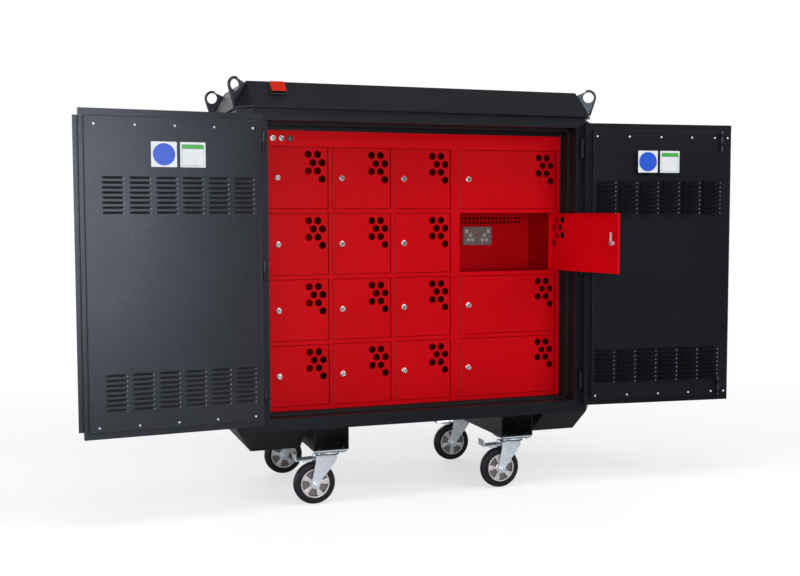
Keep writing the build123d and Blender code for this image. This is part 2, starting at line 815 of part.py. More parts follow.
keep("socket_outlets", socket_outlets.part)

for label, (dx, dz) in zip(("left", "right"), rocker_places):
    x, z = socket_place(3, 2)
    with BuildPart() as rocker:
        with BuildSketch(Plane.YZ.offset(x + dx - rocker_w / 2)):
            with BuildLine():
                Polyline(
                    (socket_front + 6, z + dz - rocker_h / 2 + 1),
                    (socket_front + 6, z + dz + rocker_h / 2 - 1),
                    (socket_front + 0.5, z + dz + rocker_h / 2 - 0.5),
                    (socket_front - 1.5, z + dz),
                    (socket_front - 3.5, z + dz - rocker_h / 2 + 0.5),
                    close=True,
                )
            make_face()
        extrude(amount=rocker_w)
    keep("socket_rocker_" + label, rocker.part)

# Fixed part of the casters: top plate, kingpin, upper race and four bolts up through the pocket.
plate_top = caster_h - seam
plate_low = plate_top - plate_t
race_low = plate_low - race_t
crown_top = race_low - race_gap - 7.0
crown_low = crown_top - crown_t
with BuildPart() as caster_mounts:
    for x, y in caster_places:
        block(x - plate_w / 2, x + plate_w / 2, y - plate_d / 2, y + plate_d / 2, plate_low, plate_top)
        upright_rod(race_r + 3, x, y, race_low, plate_low)
        upright_rod(kingpin_r, x, y, crown_low - 7, race_low)
        upright_rod(kingpin_r + 4, x, y, crown_low - 7, crown_low - race_gap)
    for x, y in bolt_places:
        upright_rod(caster_bolt_r, x, y, plate_low - 9, caster_h + pocket_wall + 1)
        with BuildSketch(Plane.XY.offset(caster_h + pocket_wall + seam)):
            with Locations((x, y)):
                RegularPolygon(9.2, 6)
        extrude(amount=6)
        with BuildSketch(Plane.XY.offset(plate_low - 8)):
            with Locations((x, y)):
                RegularPolygon(9.2, 6)
        extrude(amount=8)
keep("caster_mounts", caster_mounts.part)


def caster_fork(x, y):
    """Pressed swivel fork: lower race, crown, two folded legs joined at the heel, axle and brake pin."""
    hub_x = x - trail
    outer = leg_gap + leg_t
    legs_low = wheel_r - 20
    half_plan = [
        (hub_x - 2 * leg_fold, outer),
        (hub_x + leg_fold, outer),
        (x + waist_x, waist_half),
        (x + crown_half, heel_half),
    ]
    plan = [(px, y + py) for px, py in half_plan]
    plan += [(px, y - py) for px, py in reversed(half_plan)]
    with BuildPart() as fork:
        with BuildSketch(Plane.XY.offset(legs_low)):
            with BuildLine():
                Polyline(*plan, close=True)
            make_face()
            offset(amount=-leg_t, kind=Kind.INTERSECTION, mode=Mode.SUBTRACT)
        extrude(amount=crown_top - legs_low)
        with BuildSketch(Plane.XZ.offset(outer - y)):
            with BuildLine():
                Polyline(
                    (x + crown_half, crown_top),
                    (x + crown_half, crown_low - 14),
                    (hub_x + 18, wheel_r + 8),
                    (hub_x + 18, wheel_r - 10),
                    (hub_x + 9, legs_low),
                    (hub_x - 9, legs_low),
                    (hub_x - 18, wheel_r - 10),
                    (hub_x - 18, wheel_r + 8),
                    (x - pedal_x - 14, pedal_z - 8),
                    (x - pedal_x - 12, crown_top),
                    close=True,
                )
            make_face()
        extrude(amount=-2 * outer, mode=Mode.INTERSECT)
        with BuildSketch(Plane.XY.offset(crown_low)):
            with BuildLine():
                Polyline(*plan, close=True)
            make_face()
            with Locations((x, y)):
                Rectangle(2 * crown_half, 4 * outer, mode=Mode.INTERSECT)
        extrude(amount=crown_t)
        upright_rod(race_r, x, y, crown_top, race_low - race_gap)
        upright_rod(kingpin_r + running_fit, x, y, crown_low - 1, race_low, Mode.SUBTRACT)
        level_rod(axle_r, hub_x, wheel_r, y - outer - 5, y + outer + 5)
        level_rod(pedal_pin_r, x - pedal_x, pedal_z, y - outer - 2, y + outer + 2)
        for low in (y - outer - 7, y + outer):
            with BuildSketch(Plane.XZ.offset(-low)):
                with Locations((hub_x, wheel_r)):
                    RegularPolygon(12, 6)
            extrude(amount=-7)
    return fork.part


def caster_wheel(x, y):
    """Rubber-tyred wheel: an aluminium rim with windows and a crowned tyre."""
    half = tyre_w / 2
    hub = leg_gap - 0.3
    bore = axle_r + running_fit
    side = [
        (bore, hub),
        (hub_r, hub),
        (hub_r, 8),
        (rim_r - 8, 8),
        (rim_r - 5, half - 3),
        (rim_r + 3, half - 3),
        (rim_r + 4, half),
        (wheel_r - 10, half),
        (wheel_r - 2, half - 8),
        (wheel_r, 6),
    ]
    outline = side + [(r, -w) for r, w in reversed(side)]
    with BuildPart() as wheel:
        with BuildSketch(Plane.XY):
            with BuildLine():
                Polyline(*outline, close=True)
            make_face()
        revolve(axis=Axis.Y)
        with BuildSketch(Plane.XZ.offset(-half)):
            with PolarLocations(0, windows):
                Polygon(
                    (hub_r + 5, -4.5),
                    (rim_r - 11, -13),
                    (rim_r - 11, 13),
                    (hub_r + 5, 4.5),
                    align=None,
                )
        extrude(amount=tyre_w, mode=Mode.SUBTRACT)
    return wheel.part.moved(Location((x - trail, y, wheel_r)))


def brake_pedal(x, y):
    """Brake lever: pivot tube, tread plate with a toe tab, and the shoe above the tyre."""
    pivot = x - pedal_x
    tip = x - pedal_tip
    width = leg_gap - race_gap
    with BuildPart() as pedal:
        level_rod(pedal_pin_r + 3, pivot, pedal_z, y - width, y + width)
        with BuildSketch(Plane.XZ.offset(-(y + width))):
            with BuildLine():
                Polyline(
                    (pivot, pedal_z + 1),
                    (tip + 4, pedal_z - 3),
                    (tip, pedal_z + 24),
                    (tip - 3, pedal_z + 24),
                    (tip, pedal_z - 6),
                    (pivot, pedal_z - 2),
                    close=True,
                )
            make_face()
        extrude(amount=2 * width)
        block(x - 112, x - 80, y - 15, y + 15, pedal_z - 15, pedal_z - 3)
        level_rod(
            pedal_pin_r + running_fit, pivot, pedal_z, y - width - 1, y + width + 1, Mode.SUBTRACT
        )
    return pedal.part


corner_names = ("front_left", "front_right", "back_left", "back_right")
for label, (x, y) in zip(corner_names, caster_places):
    keep("caster_fork_" + label, caster_fork(x, y))
    keep("caster_wheel_" + label, caster_wheel(x, y))
    keep("caster_brake_" + label, brake_pedal(x, y))

# The handed-in frame has its origin under the middle of the whole object as it stands.
boxes = [part.bounding_box() for part in pieces.values()]
low_x = min(b.min.X for b in boxes)
high_x = max(b.max.X for b in boxes)
low_y = min(b.min.Y for b in boxes)
high_y = max(b.max.Y for b in boxes)
low_z = min(b.min.Z for b in boxes)
shift = Location((-(low_x + high_x) / 2, -(low_y + high_y) / 2, -low_z))
for name, part in pieces.items():
    placed = part.moved(shift)
    placed.label = name
    export_step(placed, "parts/" + name + ".step")
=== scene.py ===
"""Dresses the packed battery cabinet: coatings, fasteners, wheels, locks, plates, studio and camera."""

import json
import math

import bmesh
import bpy
from bpy.props import FloatProperty, FloatVectorProperty, IntProperty, PointerProperty
from mathutils import Matrix, Vector


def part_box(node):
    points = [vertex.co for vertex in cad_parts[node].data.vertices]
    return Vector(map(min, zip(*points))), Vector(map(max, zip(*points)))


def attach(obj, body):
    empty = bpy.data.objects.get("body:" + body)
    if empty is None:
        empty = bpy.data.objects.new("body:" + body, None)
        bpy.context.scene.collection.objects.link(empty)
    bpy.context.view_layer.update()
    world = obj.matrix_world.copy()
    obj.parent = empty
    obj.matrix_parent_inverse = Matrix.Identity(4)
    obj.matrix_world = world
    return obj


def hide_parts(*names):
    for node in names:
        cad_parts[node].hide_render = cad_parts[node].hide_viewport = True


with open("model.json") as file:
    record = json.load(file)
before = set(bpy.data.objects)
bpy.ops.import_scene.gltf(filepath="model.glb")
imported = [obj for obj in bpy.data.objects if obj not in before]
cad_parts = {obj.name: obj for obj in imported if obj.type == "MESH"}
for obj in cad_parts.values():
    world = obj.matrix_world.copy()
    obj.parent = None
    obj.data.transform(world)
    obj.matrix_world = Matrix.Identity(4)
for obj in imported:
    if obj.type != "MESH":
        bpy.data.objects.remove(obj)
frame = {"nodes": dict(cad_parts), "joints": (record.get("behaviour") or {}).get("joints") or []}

bl_info = {
    "name": "Battery cabinet looks",
    "version": (1, 0, 0),
    "blender": (4, 5, 0),
    "location": "View3D > Sidebar > Cabinet",
    "description": "Coats and details the battery cabinet around its construction model",
    "category": "Object",
}

NODES = frame["nodes"]
JOINTS = {joint["name"]: joint for joint in frame["joints"]}
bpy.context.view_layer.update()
SIDES = ("left", "right")
CORNERS = ("front_left", "front_right", "back_left", "back_right")
LOCKERS = [f"r{row}c{column}" for row in range(1, 5) for column in range(1, 5)]
WIDE_LOCKERS = LOCKERS[3::4]
OPEN_LOCKER = "r2c4"
NARROW_LOCK_REACH = 0.204
WIDE_LOCK_REACH = 0.416
PIN_DEPTH = 0.007
FACE_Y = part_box("fascia_panel")[0].y
FLAT = Matrix.Identity(4)
UPRIGHT = Matrix.Rotation(math.pi / 2, 4, "X")
WHITE = (1.0, 1.0, 1.0, 1.0)


def linked(name, data):
    """A new object in the scene."""
    thing = bpy.data.objects.new(name, data)
    bpy.context.scene.collection.objects.link(thing)
    return thing


# Node trees written as sums


def forms(operation):
    """An operator's plain and reflected form, each of which adds a Math node."""

    def plain(self, other):
        return self.tree.math(operation, self, other)

    def reflected(self, other):
        return self.tree.math(operation, other, self)

    return plain, reflected


class Wire:
    """An output socket of a tree. A sum on it adds the Math node that works it out."""

    def __init__(self, tree, socket):
        self.tree = tree
        self.socket = socket

    __add__, __radd__ = forms("ADD")
    __sub__, __rsub__ = forms("SUBTRACT")
    __mul__, __rmul__ = forms("MULTIPLY")
    __truediv__, __rtruediv__ = forms("DIVIDE")
    __pow__, __rpow__ = forms("POWER")
    __lt__ = forms("LESS_THAN")[0]
    __gt__ = forms("GREATER_THAN")[0]


class Tree:
    """A node tree that is written as calls and sums."""

    def __init__(self, node_tree):
        self.node_tree = node_tree
        node_tree.nodes.clear()

    def add(self, kind, settings=None, values=None, output=0):
        """Adds a node: first its settings, then a value or link for each socket named or numbered."""
        node = self.node_tree.nodes.new(kind)
        for key, setting in (settings or {}).items():
            setattr(node, key, setting)
        for key, value in (values or {}).items():
            if isinstance(value, Wire):
                self.node_tree.links.new(value.socket, node.inputs[key])
            else:
                node.inputs[key].default_value = value
        return Wire(self, node.outputs[output]) if len(node.outputs) else None

    def math(self, operation, *numbers):
        """One Math node on numbers or wires."""
        return self.add("ShaderNodeMath", {"operation": operation}, dict(enumerate(numbers)))

    def parts(self, vector):
        """The three parts of a vector."""
        split = self.add("ShaderNodeSeparateXYZ", values={0: vector}).socket.node
        return [Wire(self, socket) for socket in split.outputs]

    def rays(self):
        """Whether a ray is the camera's own, and whether a surface has mirrored it or let it through."""
        path = self.add("ShaderNodeLightPath").socket.node
        kinds = ("Camera", "Glossy", "Transmission")
        camera, glossy, through = [Wire(self, path.outputs[f"Is {kind} Ray"]) for kind in kinds]
        return camera, self.math("MAXIMUM", glossy, through)

    def span(self, value, low, high, to_low=0.0, to_high=1.0):
        """A smooth step from one level to another as the value goes from low to high."""
        numbers = {0: value, 1: low, 2: high, 3: to_low, 4: to_high}
        return self.add("ShaderNodeMapRange", {"interpolation_type": "SMOOTHSTEP"}, numbers)


class Finish(Tree):
    """The tree of one material, on Object coordinates."""

    def __init__(self, name):
        self.material = bpy.data.materials.new(name)
        self.material.use_nodes = True
        super().__init__(self.material.node_tree)
        self.place = self.add("ShaderNodeTexCoord", output="Object")

    def noise(self, scale, detail=2.0, stretch=None):
        """Noise from 0 to 1 with so many lumps to the metre, drawn out along an axis by stretch."""
        place = self.place
        if stretch:
            place = self.add("ShaderNodeMapping", values={"Vector": place, "Scale": stretch})
        return self.add("ShaderNodeTexNoise", values={"Vector": place, "Scale": scale, "Detail": detail})

    def cells(self, scale):
        """The random colours of cells with so many to the metre."""
        return self.add("ShaderNodeTexVoronoi", values={"Vector": self.place, "Scale": scale}, output="Color")

    def mix(self, mask, low, high):
        """One colour where the mask is 0 and another where it is 1."""
        return self.add("ShaderNodeMix", {"data_type": "RGBA"}, {0: mask, 6: low, 7: high}, 2)

    def relief(self, height, depth, under=None):
        """A bumped normal from a height of 0 to 1 and its depth in metres."""
        values = {"Height": height, "Distance": depth, "Strength": 1.0}
        if under:
            values["Normal"] = under
        return self.add("ShaderNodeBump", values=values)

    def end(self, colour, roughness, normal=None, **constants):
        """Feeds the shader and returns the material. Constants are set on the shader's own sockets."""
        values = {"Base Color": colour, "Roughness": roughness}
        if normal:
            values["Normal"] = normal
        values.update({key.replace("_", " "): value for key, value in constants.items()})
        shader = self.add("ShaderNodeBsdfPrincipled", values=values)
        self.add("ShaderNodeOutputMaterial", values={"Surface": shader})
        return self.material


class Pattern(Tree):
    """A Geometry Nodes tree that sets a shape on each point it is given. Its sizes are named inputs."""

    def __init__(self, name, **inputs):
        group = bpy.data.node_groups.new(name, "GeometryNodeTree")
        super().__init__(group)
        face = group.interface
        face.new_socket("Geometry", in_out="OUTPUT", socket_type="NodeSocketGeometry")
        face.new_socket("Points", in_out="INPUT", socket_type="NodeSocketGeometry")
        self.keys = {}
        for label, kind in {**inputs, "Turn": "Vector", "Material": "Material"}.items():
            socket = face.new_socket(label, in_out="INPUT", socket_type="NodeSocket" + kind)
            self.keys[label] = socket.identifier
        self.entry = self.add("NodeGroupInput").socket.node

    def given(self, label):
        """The wire of a named input."""
        return Wire(self, self.entry.outputs[label])

    def moved(self, shape, x, y, z):
        """The shape with each point at a worked-out place."""
        place = self.add("ShaderNodeCombineXYZ", values={0: x, 1: y, 2: z})
        return self.add("GeometryNodeSetPosition", values={"Geometry": shape, "Position": place})

    def place_parts(self):
        """The three coordinates of the shape's points."""
        return self.parts(self.add("GeometryNodeInputPosition"))

    def end(self, shape, rotation=None):
        """Sets the shape on the points, realizes the copies and gives them their material."""
        turn = rotation or self.add("FunctionNodeEulerToRotation", values={0: self.given("Turn")})
        copies = {"Points": self.given("Points"), "Instance": shape, "Rotation": turn}
        placed = self.add("GeometryNodeInstanceOnPoints", values=copies)
        solid = self.add("GeometryNodeRealizeInstances", values={0: placed})
        coated = {"Geometry": solid, "Material": self.given("Material")}
        self.add("NodeGroupOutput", values={0: self.add("GeometryNodeSetMaterial", values=coated)})
        return self

    def mesh(self, name, points, coat, turn=(0.0, 0.0, 0.0), **values):
        """Runs the tree on a list of points and gives back a plain mesh with a finish."""
        cloud = bpy.data.meshes.new(name)
        cloud.from_pydata([tuple(point) for point in points], [], [])
        carrier = linked(name, cloud)
        modifier = carrier.modifiers.new("pattern", "NODES")
        modifier.node_group = self.node_tree
        for label, value in {**values, "Turn": turn, "Material": finish(coat)}.items():
            modifier[self.keys[label]] = value
        graph = bpy.context.evaluated_depsgraph_get()
        mesh = bpy.data.meshes.new_from_object(carrier.evaluated_get(graph))
        carrier.modifiers.remove(modifier)
        bpy.data.objects.remove(carrier)
        return mesh


def stud_pattern():
    """Round or six-sided heads with a domed crown, such as rivets, bolt heads and lamps."""
    tree = Pattern("studs", Sides="Int", Radius="Float", Height="Float", Crown="Float")
    radius = tree.given("Radius")
    height = tree.given("Height")
    sizes = {"Vertices": tree.given("Sides"), "Fill Segments": 3, "Radius": radius, "Depth": height}
    head = tree.add("GeometryNodeMeshCylinder", values=sizes)
    x, y, z = tree.place_parts()
    reach = (x * x + y * y) / (radius * radius)
    return tree.end(tree.moved(head, x, y, z + (z > 0.0) * (1.0 - reach) * tree.given("Crown")))


def scoop_pattern():
    """Pressed louvres: a sheet that dips behind its slot towards the top, where it is cut open."""
    tree = Pattern("scoops", Length="Float", Height="Float", Depth="Float", Sheet="Float")
    length = tree.given("Length")
    height = tree.given("Height")
    sizes = {"Size X": length, "Size Y": height, "Vertices X": 13, "Vertices Y": 6}
    sheet = tree.add("GeometryNodeMeshGrid", values=sizes)
    x, y, z = tree.place_parts()
    across = tree.math("ABSOLUTE", x / length) * 2.0
    rise = tree.math("MAXIMUM", y / height + 0.5, 0.0)
    dip = (1.0 - across**6.0) * tree.math("SQRT", rise) * tree.given("Depth")
    bent = tree.moved(sheet, x, y, 0.0 - dip)
    back = tree.add("GeometryNodeFlipFaces", values={0: bent})
    down = tree.add("ShaderNodeCombineXYZ", values={2: 0.0 - tree.given("Sheet")})
    under = tree.add("GeometryNodeSetPosition", values={"Geometry": back, "Offset": down})
    both = tree.add("GeometryNodeJoinGeometry", values={0: bent})
    tree.node_tree.links.new(under.socket, both.socket.node.inputs[0])
    return tree.end(both)


def prism_pattern():
    """Small four-sided prisms of a moulded reflector."""
    tree = Pattern("prisms", Width="Float", Height="Float")
    half = tree.given("Width") * math.sqrt(0.5)
    sizes = {"Vertices": 4, "Radius Top": 0.0, "Radius Bottom": half, "Depth": tree.given("Height")}
    cone = tree.add("GeometryNodeMeshCone", values=sizes)
    quarter = tree.add("FunctionNodeEulerToRotation", values={0: (0.0, 0.0, math.pi / 4)})
    turned = tree.add("GeometryNodeTransform", values={"Geometry": cone, "Rotation": quarter})
    return tree.end(turned)


def spoke_pattern():
    """Wide spokes of a cast wheel, set round a hub that lies along Y: each fills its share of the circle."""
    tree = Pattern("spokes", Inner="Float", Outer="Float", Share="Float", Thickness="Float", Phase="Float")
    inner = tree.given("Inner")
    outer = tree.given("Outer")
    bar = tree.add("GeometryNodeMeshCube", values={"Vertices X": 7, "Vertices Y": 6, "Vertices Z": 9})
    x, y, z = tree.place_parts()
    reach = inner + (x + 0.5) * (outer - inner)
    flank = tree.math("ABSOLUTE", z * 2.0)
    crown = 1.0 - flank**8.0 * 0.3
    half = tree.given("Share") * z
    along = reach * tree.math("COSINE", half)
    across = reach * tree.math("SINE", half)
    shaped = tree.moved(bar, along, y * tree.given("Thickness") * crown, across)
    points = tree.given("Points")
    count = tree.add("GeometryNodeAttributeDomainSize", values={0: points}, output="Point Count")
    angle = tree.add("GeometryNodeInputIndex") * math.tau / count - tree.given("Phase")
    turn = tree.add("ShaderNodeCombineXYZ", values={1: angle})
    rotation = tree.add("FunctionNodeEulerToRotation", values={0: turn})
    return tree.end(shaped, rotation)


# Finishes

COOL_SHEEN = (0.76, 0.84, 1.0, 1.0)
BARE_STEEL = (0.62, 0.64, 0.67, 1.0)
# Painted shade for the gaps round a shut locker door; paler red for speckles along its left edge
GAP_SHADE = (0.04, 0.0, 0.0004, 1.0)
PALE_LEFT_EDGE_RED = (0.55, 0.3, 0.3, 1.0)
SWIVEL_BLACK = (0.022, 0.022, 0.025, 1.0)
LENS_SIDE_BLACK = (0.006, 0.006, 0.006, 1.0)
RED_SHINE = 0.06
LOCK_BARREL = 0.0118
LOCK_BLADE_HALF = (0.0065, 0.0245)
# Heights above the floor
MOUNT_PLATE = (0.2302, 0.2353)
SWIVEL_TOP = 0.2264
EDGE_BLEND = 0.0004
PRISM_WAVES = 780.0


def tinted(colour, factor=1.0, lift=0.0):
    """A colour made darker or paler, with its fourth part for a node."""
    return tuple(factor * part + lift for part in colour[:3]) + (1.0,)


def painted_steel(name, colour, roughness, grain, mottle, shine):
    """Dark powder coat: a textured skin that breaks up the sheen, pale flecks, scuffs and soft edges."""
    coat = Finish(name)
    skin = coat.noise(210)
    fleck = coat.span(coat.noise(330, 3), 0.5, 0.72)
    cloud = coat.noise(3.1, 4)
    scuff = coat.span(coat.noise(38, 6, (1, 1, 0.35)), 0.62, 0.78) * coat.span(cloud, 0.5, 0.7)
    light = tinted(colour, 1.0 + 3.0 * mottle)
    paint = coat.mix(fleck * mottle + scuff * 0.18, tinted(colour), light)
    gloss = coat.span(cloud, 0.3, 0.7, roughness - 0.03, roughness + 0.03) + scuff * 0.06
    gloss = gloss + (skin - 0.5) * mottle * 0.35
    edge = coat.add("ShaderNodeBevel", {"samples": 4}, {"Radius": 0.0016})
    peel = coat.relief(coat.noise(900), grain * 0.3, coat.relief(skin, grain, edge))
    return coat.end(paint, gloss, peel, Specular_IOR_Level=shine, Specular_Tint=COOL_SHEEN)


def locker_red(name, colour, roughness, box=None, lock=None):
    """Red powder coat; on a shut door, painted shade in the gaps round its edges and paler speckles along its
    left edge; bare metal round a lock it carries.
    """
    coat = Finish(name)
    patch = coat.span(coat.noise(2.6, 3), 0.35, 0.65) * 0.6 + coat.noise(300) * 0.3
    paint = coat.mix(patch, tinted(colour), tinted(colour, 0.9))
    gloss = coat.span(coat.noise(9, 4), 0.3, 0.7, roughness - 0.05, roughness + 0.06)
    peel = coat.relief(coat.noise(620), 0.00005)
    x, y, z = coat.parts(coat.place)
    if box:
        low, high = box
        # Painted shade: the door's edges darken into the gaps round it, widest at the bottom, then the right,
        # the top and the left
        sides = coat.math("MINIMUM", (x - low.x) * 1.5, (high.x - x) * 0.8)
        ends = coat.math("MINIMUM", (z - low.z) * 0.6, (high.z - z) * 0.9)
        rim = coat.span(coat.math("MINIMUM", sides, ends), 0.0021, 0.001)
        # Paler speckles only along the door's left edge
        left_edge_speckle = (x < low.x + 0.0012) * coat.span(coat.noise(260, 4), 0.5, 0.6)
        paint = coat.mix(rim, paint, GAP_SHADE)
        paint = coat.mix(left_edge_speckle * 0.7, paint, PALE_LEFT_EDGE_RED)
    if lock is None:
        return coat.end(paint, gloss, peel, Specular_IOR_Level=RED_SHINE)
    across = x - lock.x
    up = z - lock.z
    barrel = across * across + up * up < LOCK_BARREL**2
    wide, tall = LOCK_BLADE_HALF
    blade = (coat.math("ABSOLUTE", across) < wide) * (coat.math("ABSOLUTE", up - 0.024) < tall)
    metal = coat.math("MAXIMUM", barrel, blade * (y > lock.y + 0.006))
    gloss = gloss * (1.0 - metal) + metal * 0.22
    paint = coat.mix(metal, paint, BARE_STEEL)
    return coat.end(paint, gloss, peel, Metallic=metal, Specular_IOR_Level=RED_SHINE)


def plated_steel(name, colour, roughness, metallic, streak=(1, 1, 8)):
    """Bright zinc or satin steel: faint crystals, drawn streaks and a few dull spots."""
    coat = Finish(name)
    crystal = coat.parts(coat.cells(160))[0]
    dull = coat.span(coat.noise(30, 5), 0.5, 0.72)
    skin = coat.mix(crystal * 0.35 + dull * 0.4, tinted(colour), tinted(colour, 0.74))
    lines = coat.noise(180, 3, streak)
    gloss = coat.span(lines, 0.3, 0.7, roughness - 0.06, roughness + 0.08) + dull * 0.12
    return coat.end(skin, gloss, coat.relief(lines, 0.00005), Metallic=metallic)


def mount_steel(name, colour):
    """Zinc top plate of a caster, with its dark swivel head below and near-black bolt heads above."""
    coat = Finish(name)
    height = coat.parts(coat.place)[2]
    dull = coat.span(coat.noise(60, 4), 0.4, 0.7)
    foot, top = MOUNT_PLATE
    plate = coat.span(height, foot, foot + EDGE_BLEND) * coat.span(height, top, top - EDGE_BLEND)
    under = coat.span(height, SWIVEL_TOP, SWIVEL_TOP - EDGE_BLEND)
    bright = coat.math("MAXIMUM", plate, under)
    skin = coat.mix(bright, SWIVEL_BLACK, coat.mix(dull * 0.4, tinted(colour), tinted(colour, 0.72)))
    return coat.end(skin, 0.3 + dull * 0.15, coat.relief(dull, 0.00004), Metallic=0.5)


def cast_aluminium(name, colour):
    """Die-cast wheel centre: a fine sandy skin with dull patches."""
    coat = Finish(name)
    grit = coat.noise(800, 3)
    bloom = coat.span(coat.noise(45, 4), 0.4, 0.7)
    skin = coat.mix(bloom * 0.5, tinted(colour), tinted(colour, 0.7))
    return coat.end(skin, coat.span(grit, 0.2, 0.8, 0.34, 0.5), coat.relief(grit, 0.00006), Metallic=0.5)


def rubber(name, colour, roughness):
    """Solid rubber: a fine grain and a dusty bloom."""
    coat = Finish(name)
    dust = coat.span(coat.noise(24, 5), 0.45, 0.75)
    skin = coat.mix(dust * 0.5, tinted(colour), tinted(colour, 2.2, 0.004))
    grain = coat.relief(coat.noise(1300), 0.00006)
    return coat.end(skin, roughness + dust * 0.12, grain, Specular_IOR_Level=0.25)


def moulded(name, colour, roughness, coating=0.0):
    """Moulded plastic: a faint spark-eroded grain and slight flow marks, under a clear coating or none."""
    coat = Finish(name)
    flow = coat.span(coat.noise(14, 3), 0.35, 0.7)
    grain = coat.noise(1500)
    skin = coat.mix(flow * 0.6, tinted(colour), tinted(colour, 0.88))
    gloss = coat.span(grain, 0.3, 0.7, roughness - 0.03, roughness + 0.05)
    return coat.end(skin, gloss, coat.relief(grain, 0.00004), Coat_Weight=coating)


def lens_red(name, colour):
    """Moulded red lens: a diamond weave of fine prisms, with its sides painted black."""
    coat = Finish(name)
    plane = lens_plane()
    turn = plane.to_3x3()
    start = coat.add("ShaderNodeVectorMath", {"operation": "SUBTRACT"}, {0: coat.place, 1: plane.translation})
    axes = [turn.col[0] + turn.col[1], turn.col[0] - turn.col[1], turn.col[2]]
    across, along, depth = [
        coat.add("ShaderNodeVectorMath", {"operation": "DOT_PRODUCT"}, {0: start, 1: tuple(axis)}, "Value")
        for axis in axes
    ]
    weave = coat.math("SINE", across * PRISM_WAVES) * coat.math("SINE", along * PRISM_WAVES)
    red = coat.mix(coat.span(weave, 0.1, 0.9) * 0.55, tinted(colour), tinted(colour, 1.5, 0.02))
    # Black on the lens's sides, from 2.5 mm below its face down
    paint = coat.mix(coat.span(depth, -0.0045, -0.0025), LENS_SIDE_BLACK, red)
    gloss = coat.span(weave, -1.0, 1.0, 0.3, 0.22)
    return coat.end(paint, gloss, coat.relief(weave, 0.0003), Specular_IOR_Level=0.1)


PLAIN_FINISHES = {
    "chrome": (plated_steel, "polished_chrome", (0.8, 0.8, 0.82), 0.16, 0.85, (1, 1, 1)),
    "zinc": (plated_steel, "bright_zinc", (0.84, 0.92, 1.0), 0.25, 0.5),
    "mount": (mount_steel, "caster_plate", (0.84, 0.92, 1.0)),
    "steel": (plated_steel, "satin_steel", (0.4, 0.41, 0.44), 0.36, 0.6, (8, 1, 1)),
    "bolt": (plated_steel, "blackened_steel", (0.05, 0.05, 0.056), 0.34, 0.7),
    "aluminium": (cast_aluminium, "cast_aluminium", (0.84, 0.8, 0.81)),
    # Painted shade: a darker copy of the cast aluminium for the rims' recessed pockets
    "pocket": (cast_aluminium, "dull_aluminium", (0.23, 0.215, 0.22)),
    "tyre": (rubber, "tyre_rubber", (0.0135, 0.0135, 0.0185), 0.4),
    "seal": (rubber, "seal_rubber", (0.006, 0.006, 0.0065), 0.6),
    "black": (moulded, "black_plastic", (0.012, 0.012, 0.013), 0.4),
    "ivory": (moulded, "pale_plastic", (0.62, 0.6, 0.6), 0.32),
    "socket": (plated_steel, "socket_plate", (0.21, 0.2, 0.215), 0.42, 0.3, (9, 1, 1)),
    "clear": (moulded, "indicator_glass", (0.6, 0.62, 0.6), 0.08, 0.8),
    "amber": (moulded, "amber_lamp", (0.8, 0.2, 0.02), 0.2),
    "ruby": (moulded, "ruby_lamp", (0.4, 0.01, 0.02), 0.2),
    "white_film": (moulded, "white_film", (0.74, 0.76, 0.8), 0.34),
}
FINISHES = {}


def finish(name):
    """A finish that an earlier step has made."""
    if name not in FINISHES:
        raise RuntimeError(f"make the finishes before using {name}")
    return FINISHES[name]


# Meshes


def mesh_of(bm, name, soft=35):
    """Turns a bmesh into a mesh with closed seams, outward faces and smooth shading below an angle."""
    bmesh.ops.remove_doubles(bm, verts=bm.verts, dist=1e-6)
    bmesh.ops.recalc_face_normals(bm, faces=bm.faces)
    for face in bm.faces:
        face.smooth = True
    for edge in bm.edges:
        edge.smooth = edge.calc_face_angle(math.pi) < math.radians(soft)
    mesh = bpy.data.meshes.new(name)
    bm.to_mesh(mesh)
    bm.free()
    return mesh


def turned(bm, profile, place=FLAT, steps=40, slot=0):
    """Turns a profile of (radius, height) points round local Z: a solid between two poles, else a ring."""
    rings = []
    for radius, height in profile:
        count = steps if radius else 1
        angles = [math.tau * step / count for step in range(count)]
        spots = [(radius * math.cos(a), radius * math.sin(a), height) for a in angles]
        rings.append([bm.verts.new(place @ Vector(spot)) for spot in spots])
    pairs = list(zip(rings, rings[1:]))
    if profile[0][0] or profile[-1][0]:
        pairs.append((rings[-1], rings[0]))
    for low, high in pairs:
        for step in range(steps):
            loop = [low[step % len(low)], low[(step + 1) % len(low)]]
            loop += [high[(step + 1) % len(high)], high[step % len(high)]]
            corners = list(dict.fromkeys(loop))
            if len(corners) > 2:
                bm.faces.new(corners).material_index = slot


def rounded(width, height, radius, steps=4, centre=(0.0, 0.0)):
    """Outline of a rectangle with round corners."""
    outline = []
    for corner in range(4):
        sx = 1 if corner in (0, 3) else -1
        sy = 1 if corner in (0, 1) else -1
        for step in range(steps + 1):
            angle = math.pi / 2 * (corner + step / steps)
            x = sx * (width / 2 - radius) + radius * math.cos(angle)
            y = sy * (height / 2 - radius) + radius * math.sin(angle)
            outline.append((x + centre[0], y + centre[1]))
    return outline


def mirrored(side):
    """A section from its upper half: the same points again below, backwards."""
    return side + [(radius, -width) for radius, width in reversed(side)]


def slab(bm, outline, low, high, place=FLAT, slot=0, bevel=0.0):
    """A plate from an outline in local XY between two levels, with a small chamfer on its upper edge."""
    levels = [(low, 1.0), (high - bevel, 1.0)]
    if bevel:
        levels.append((high, 1.0 - bevel / max(abs(x) for x, y in outline)))
    rings = [[bm.verts.new(place @ Vector((x * s, y * s, z))) for x, y in outline] for z, s in levels]
    for under, over in zip(rings, rings[1:]):
        for step in range(len(outline)):
            ahead = (step + 1) % len(outline)
            bm.faces.new((under[step], under[ahead], over[ahead], over[step])).material_index = slot
    for cap in (rings[0], rings[-1]):
        bm.faces.new(cap).material_index = slot


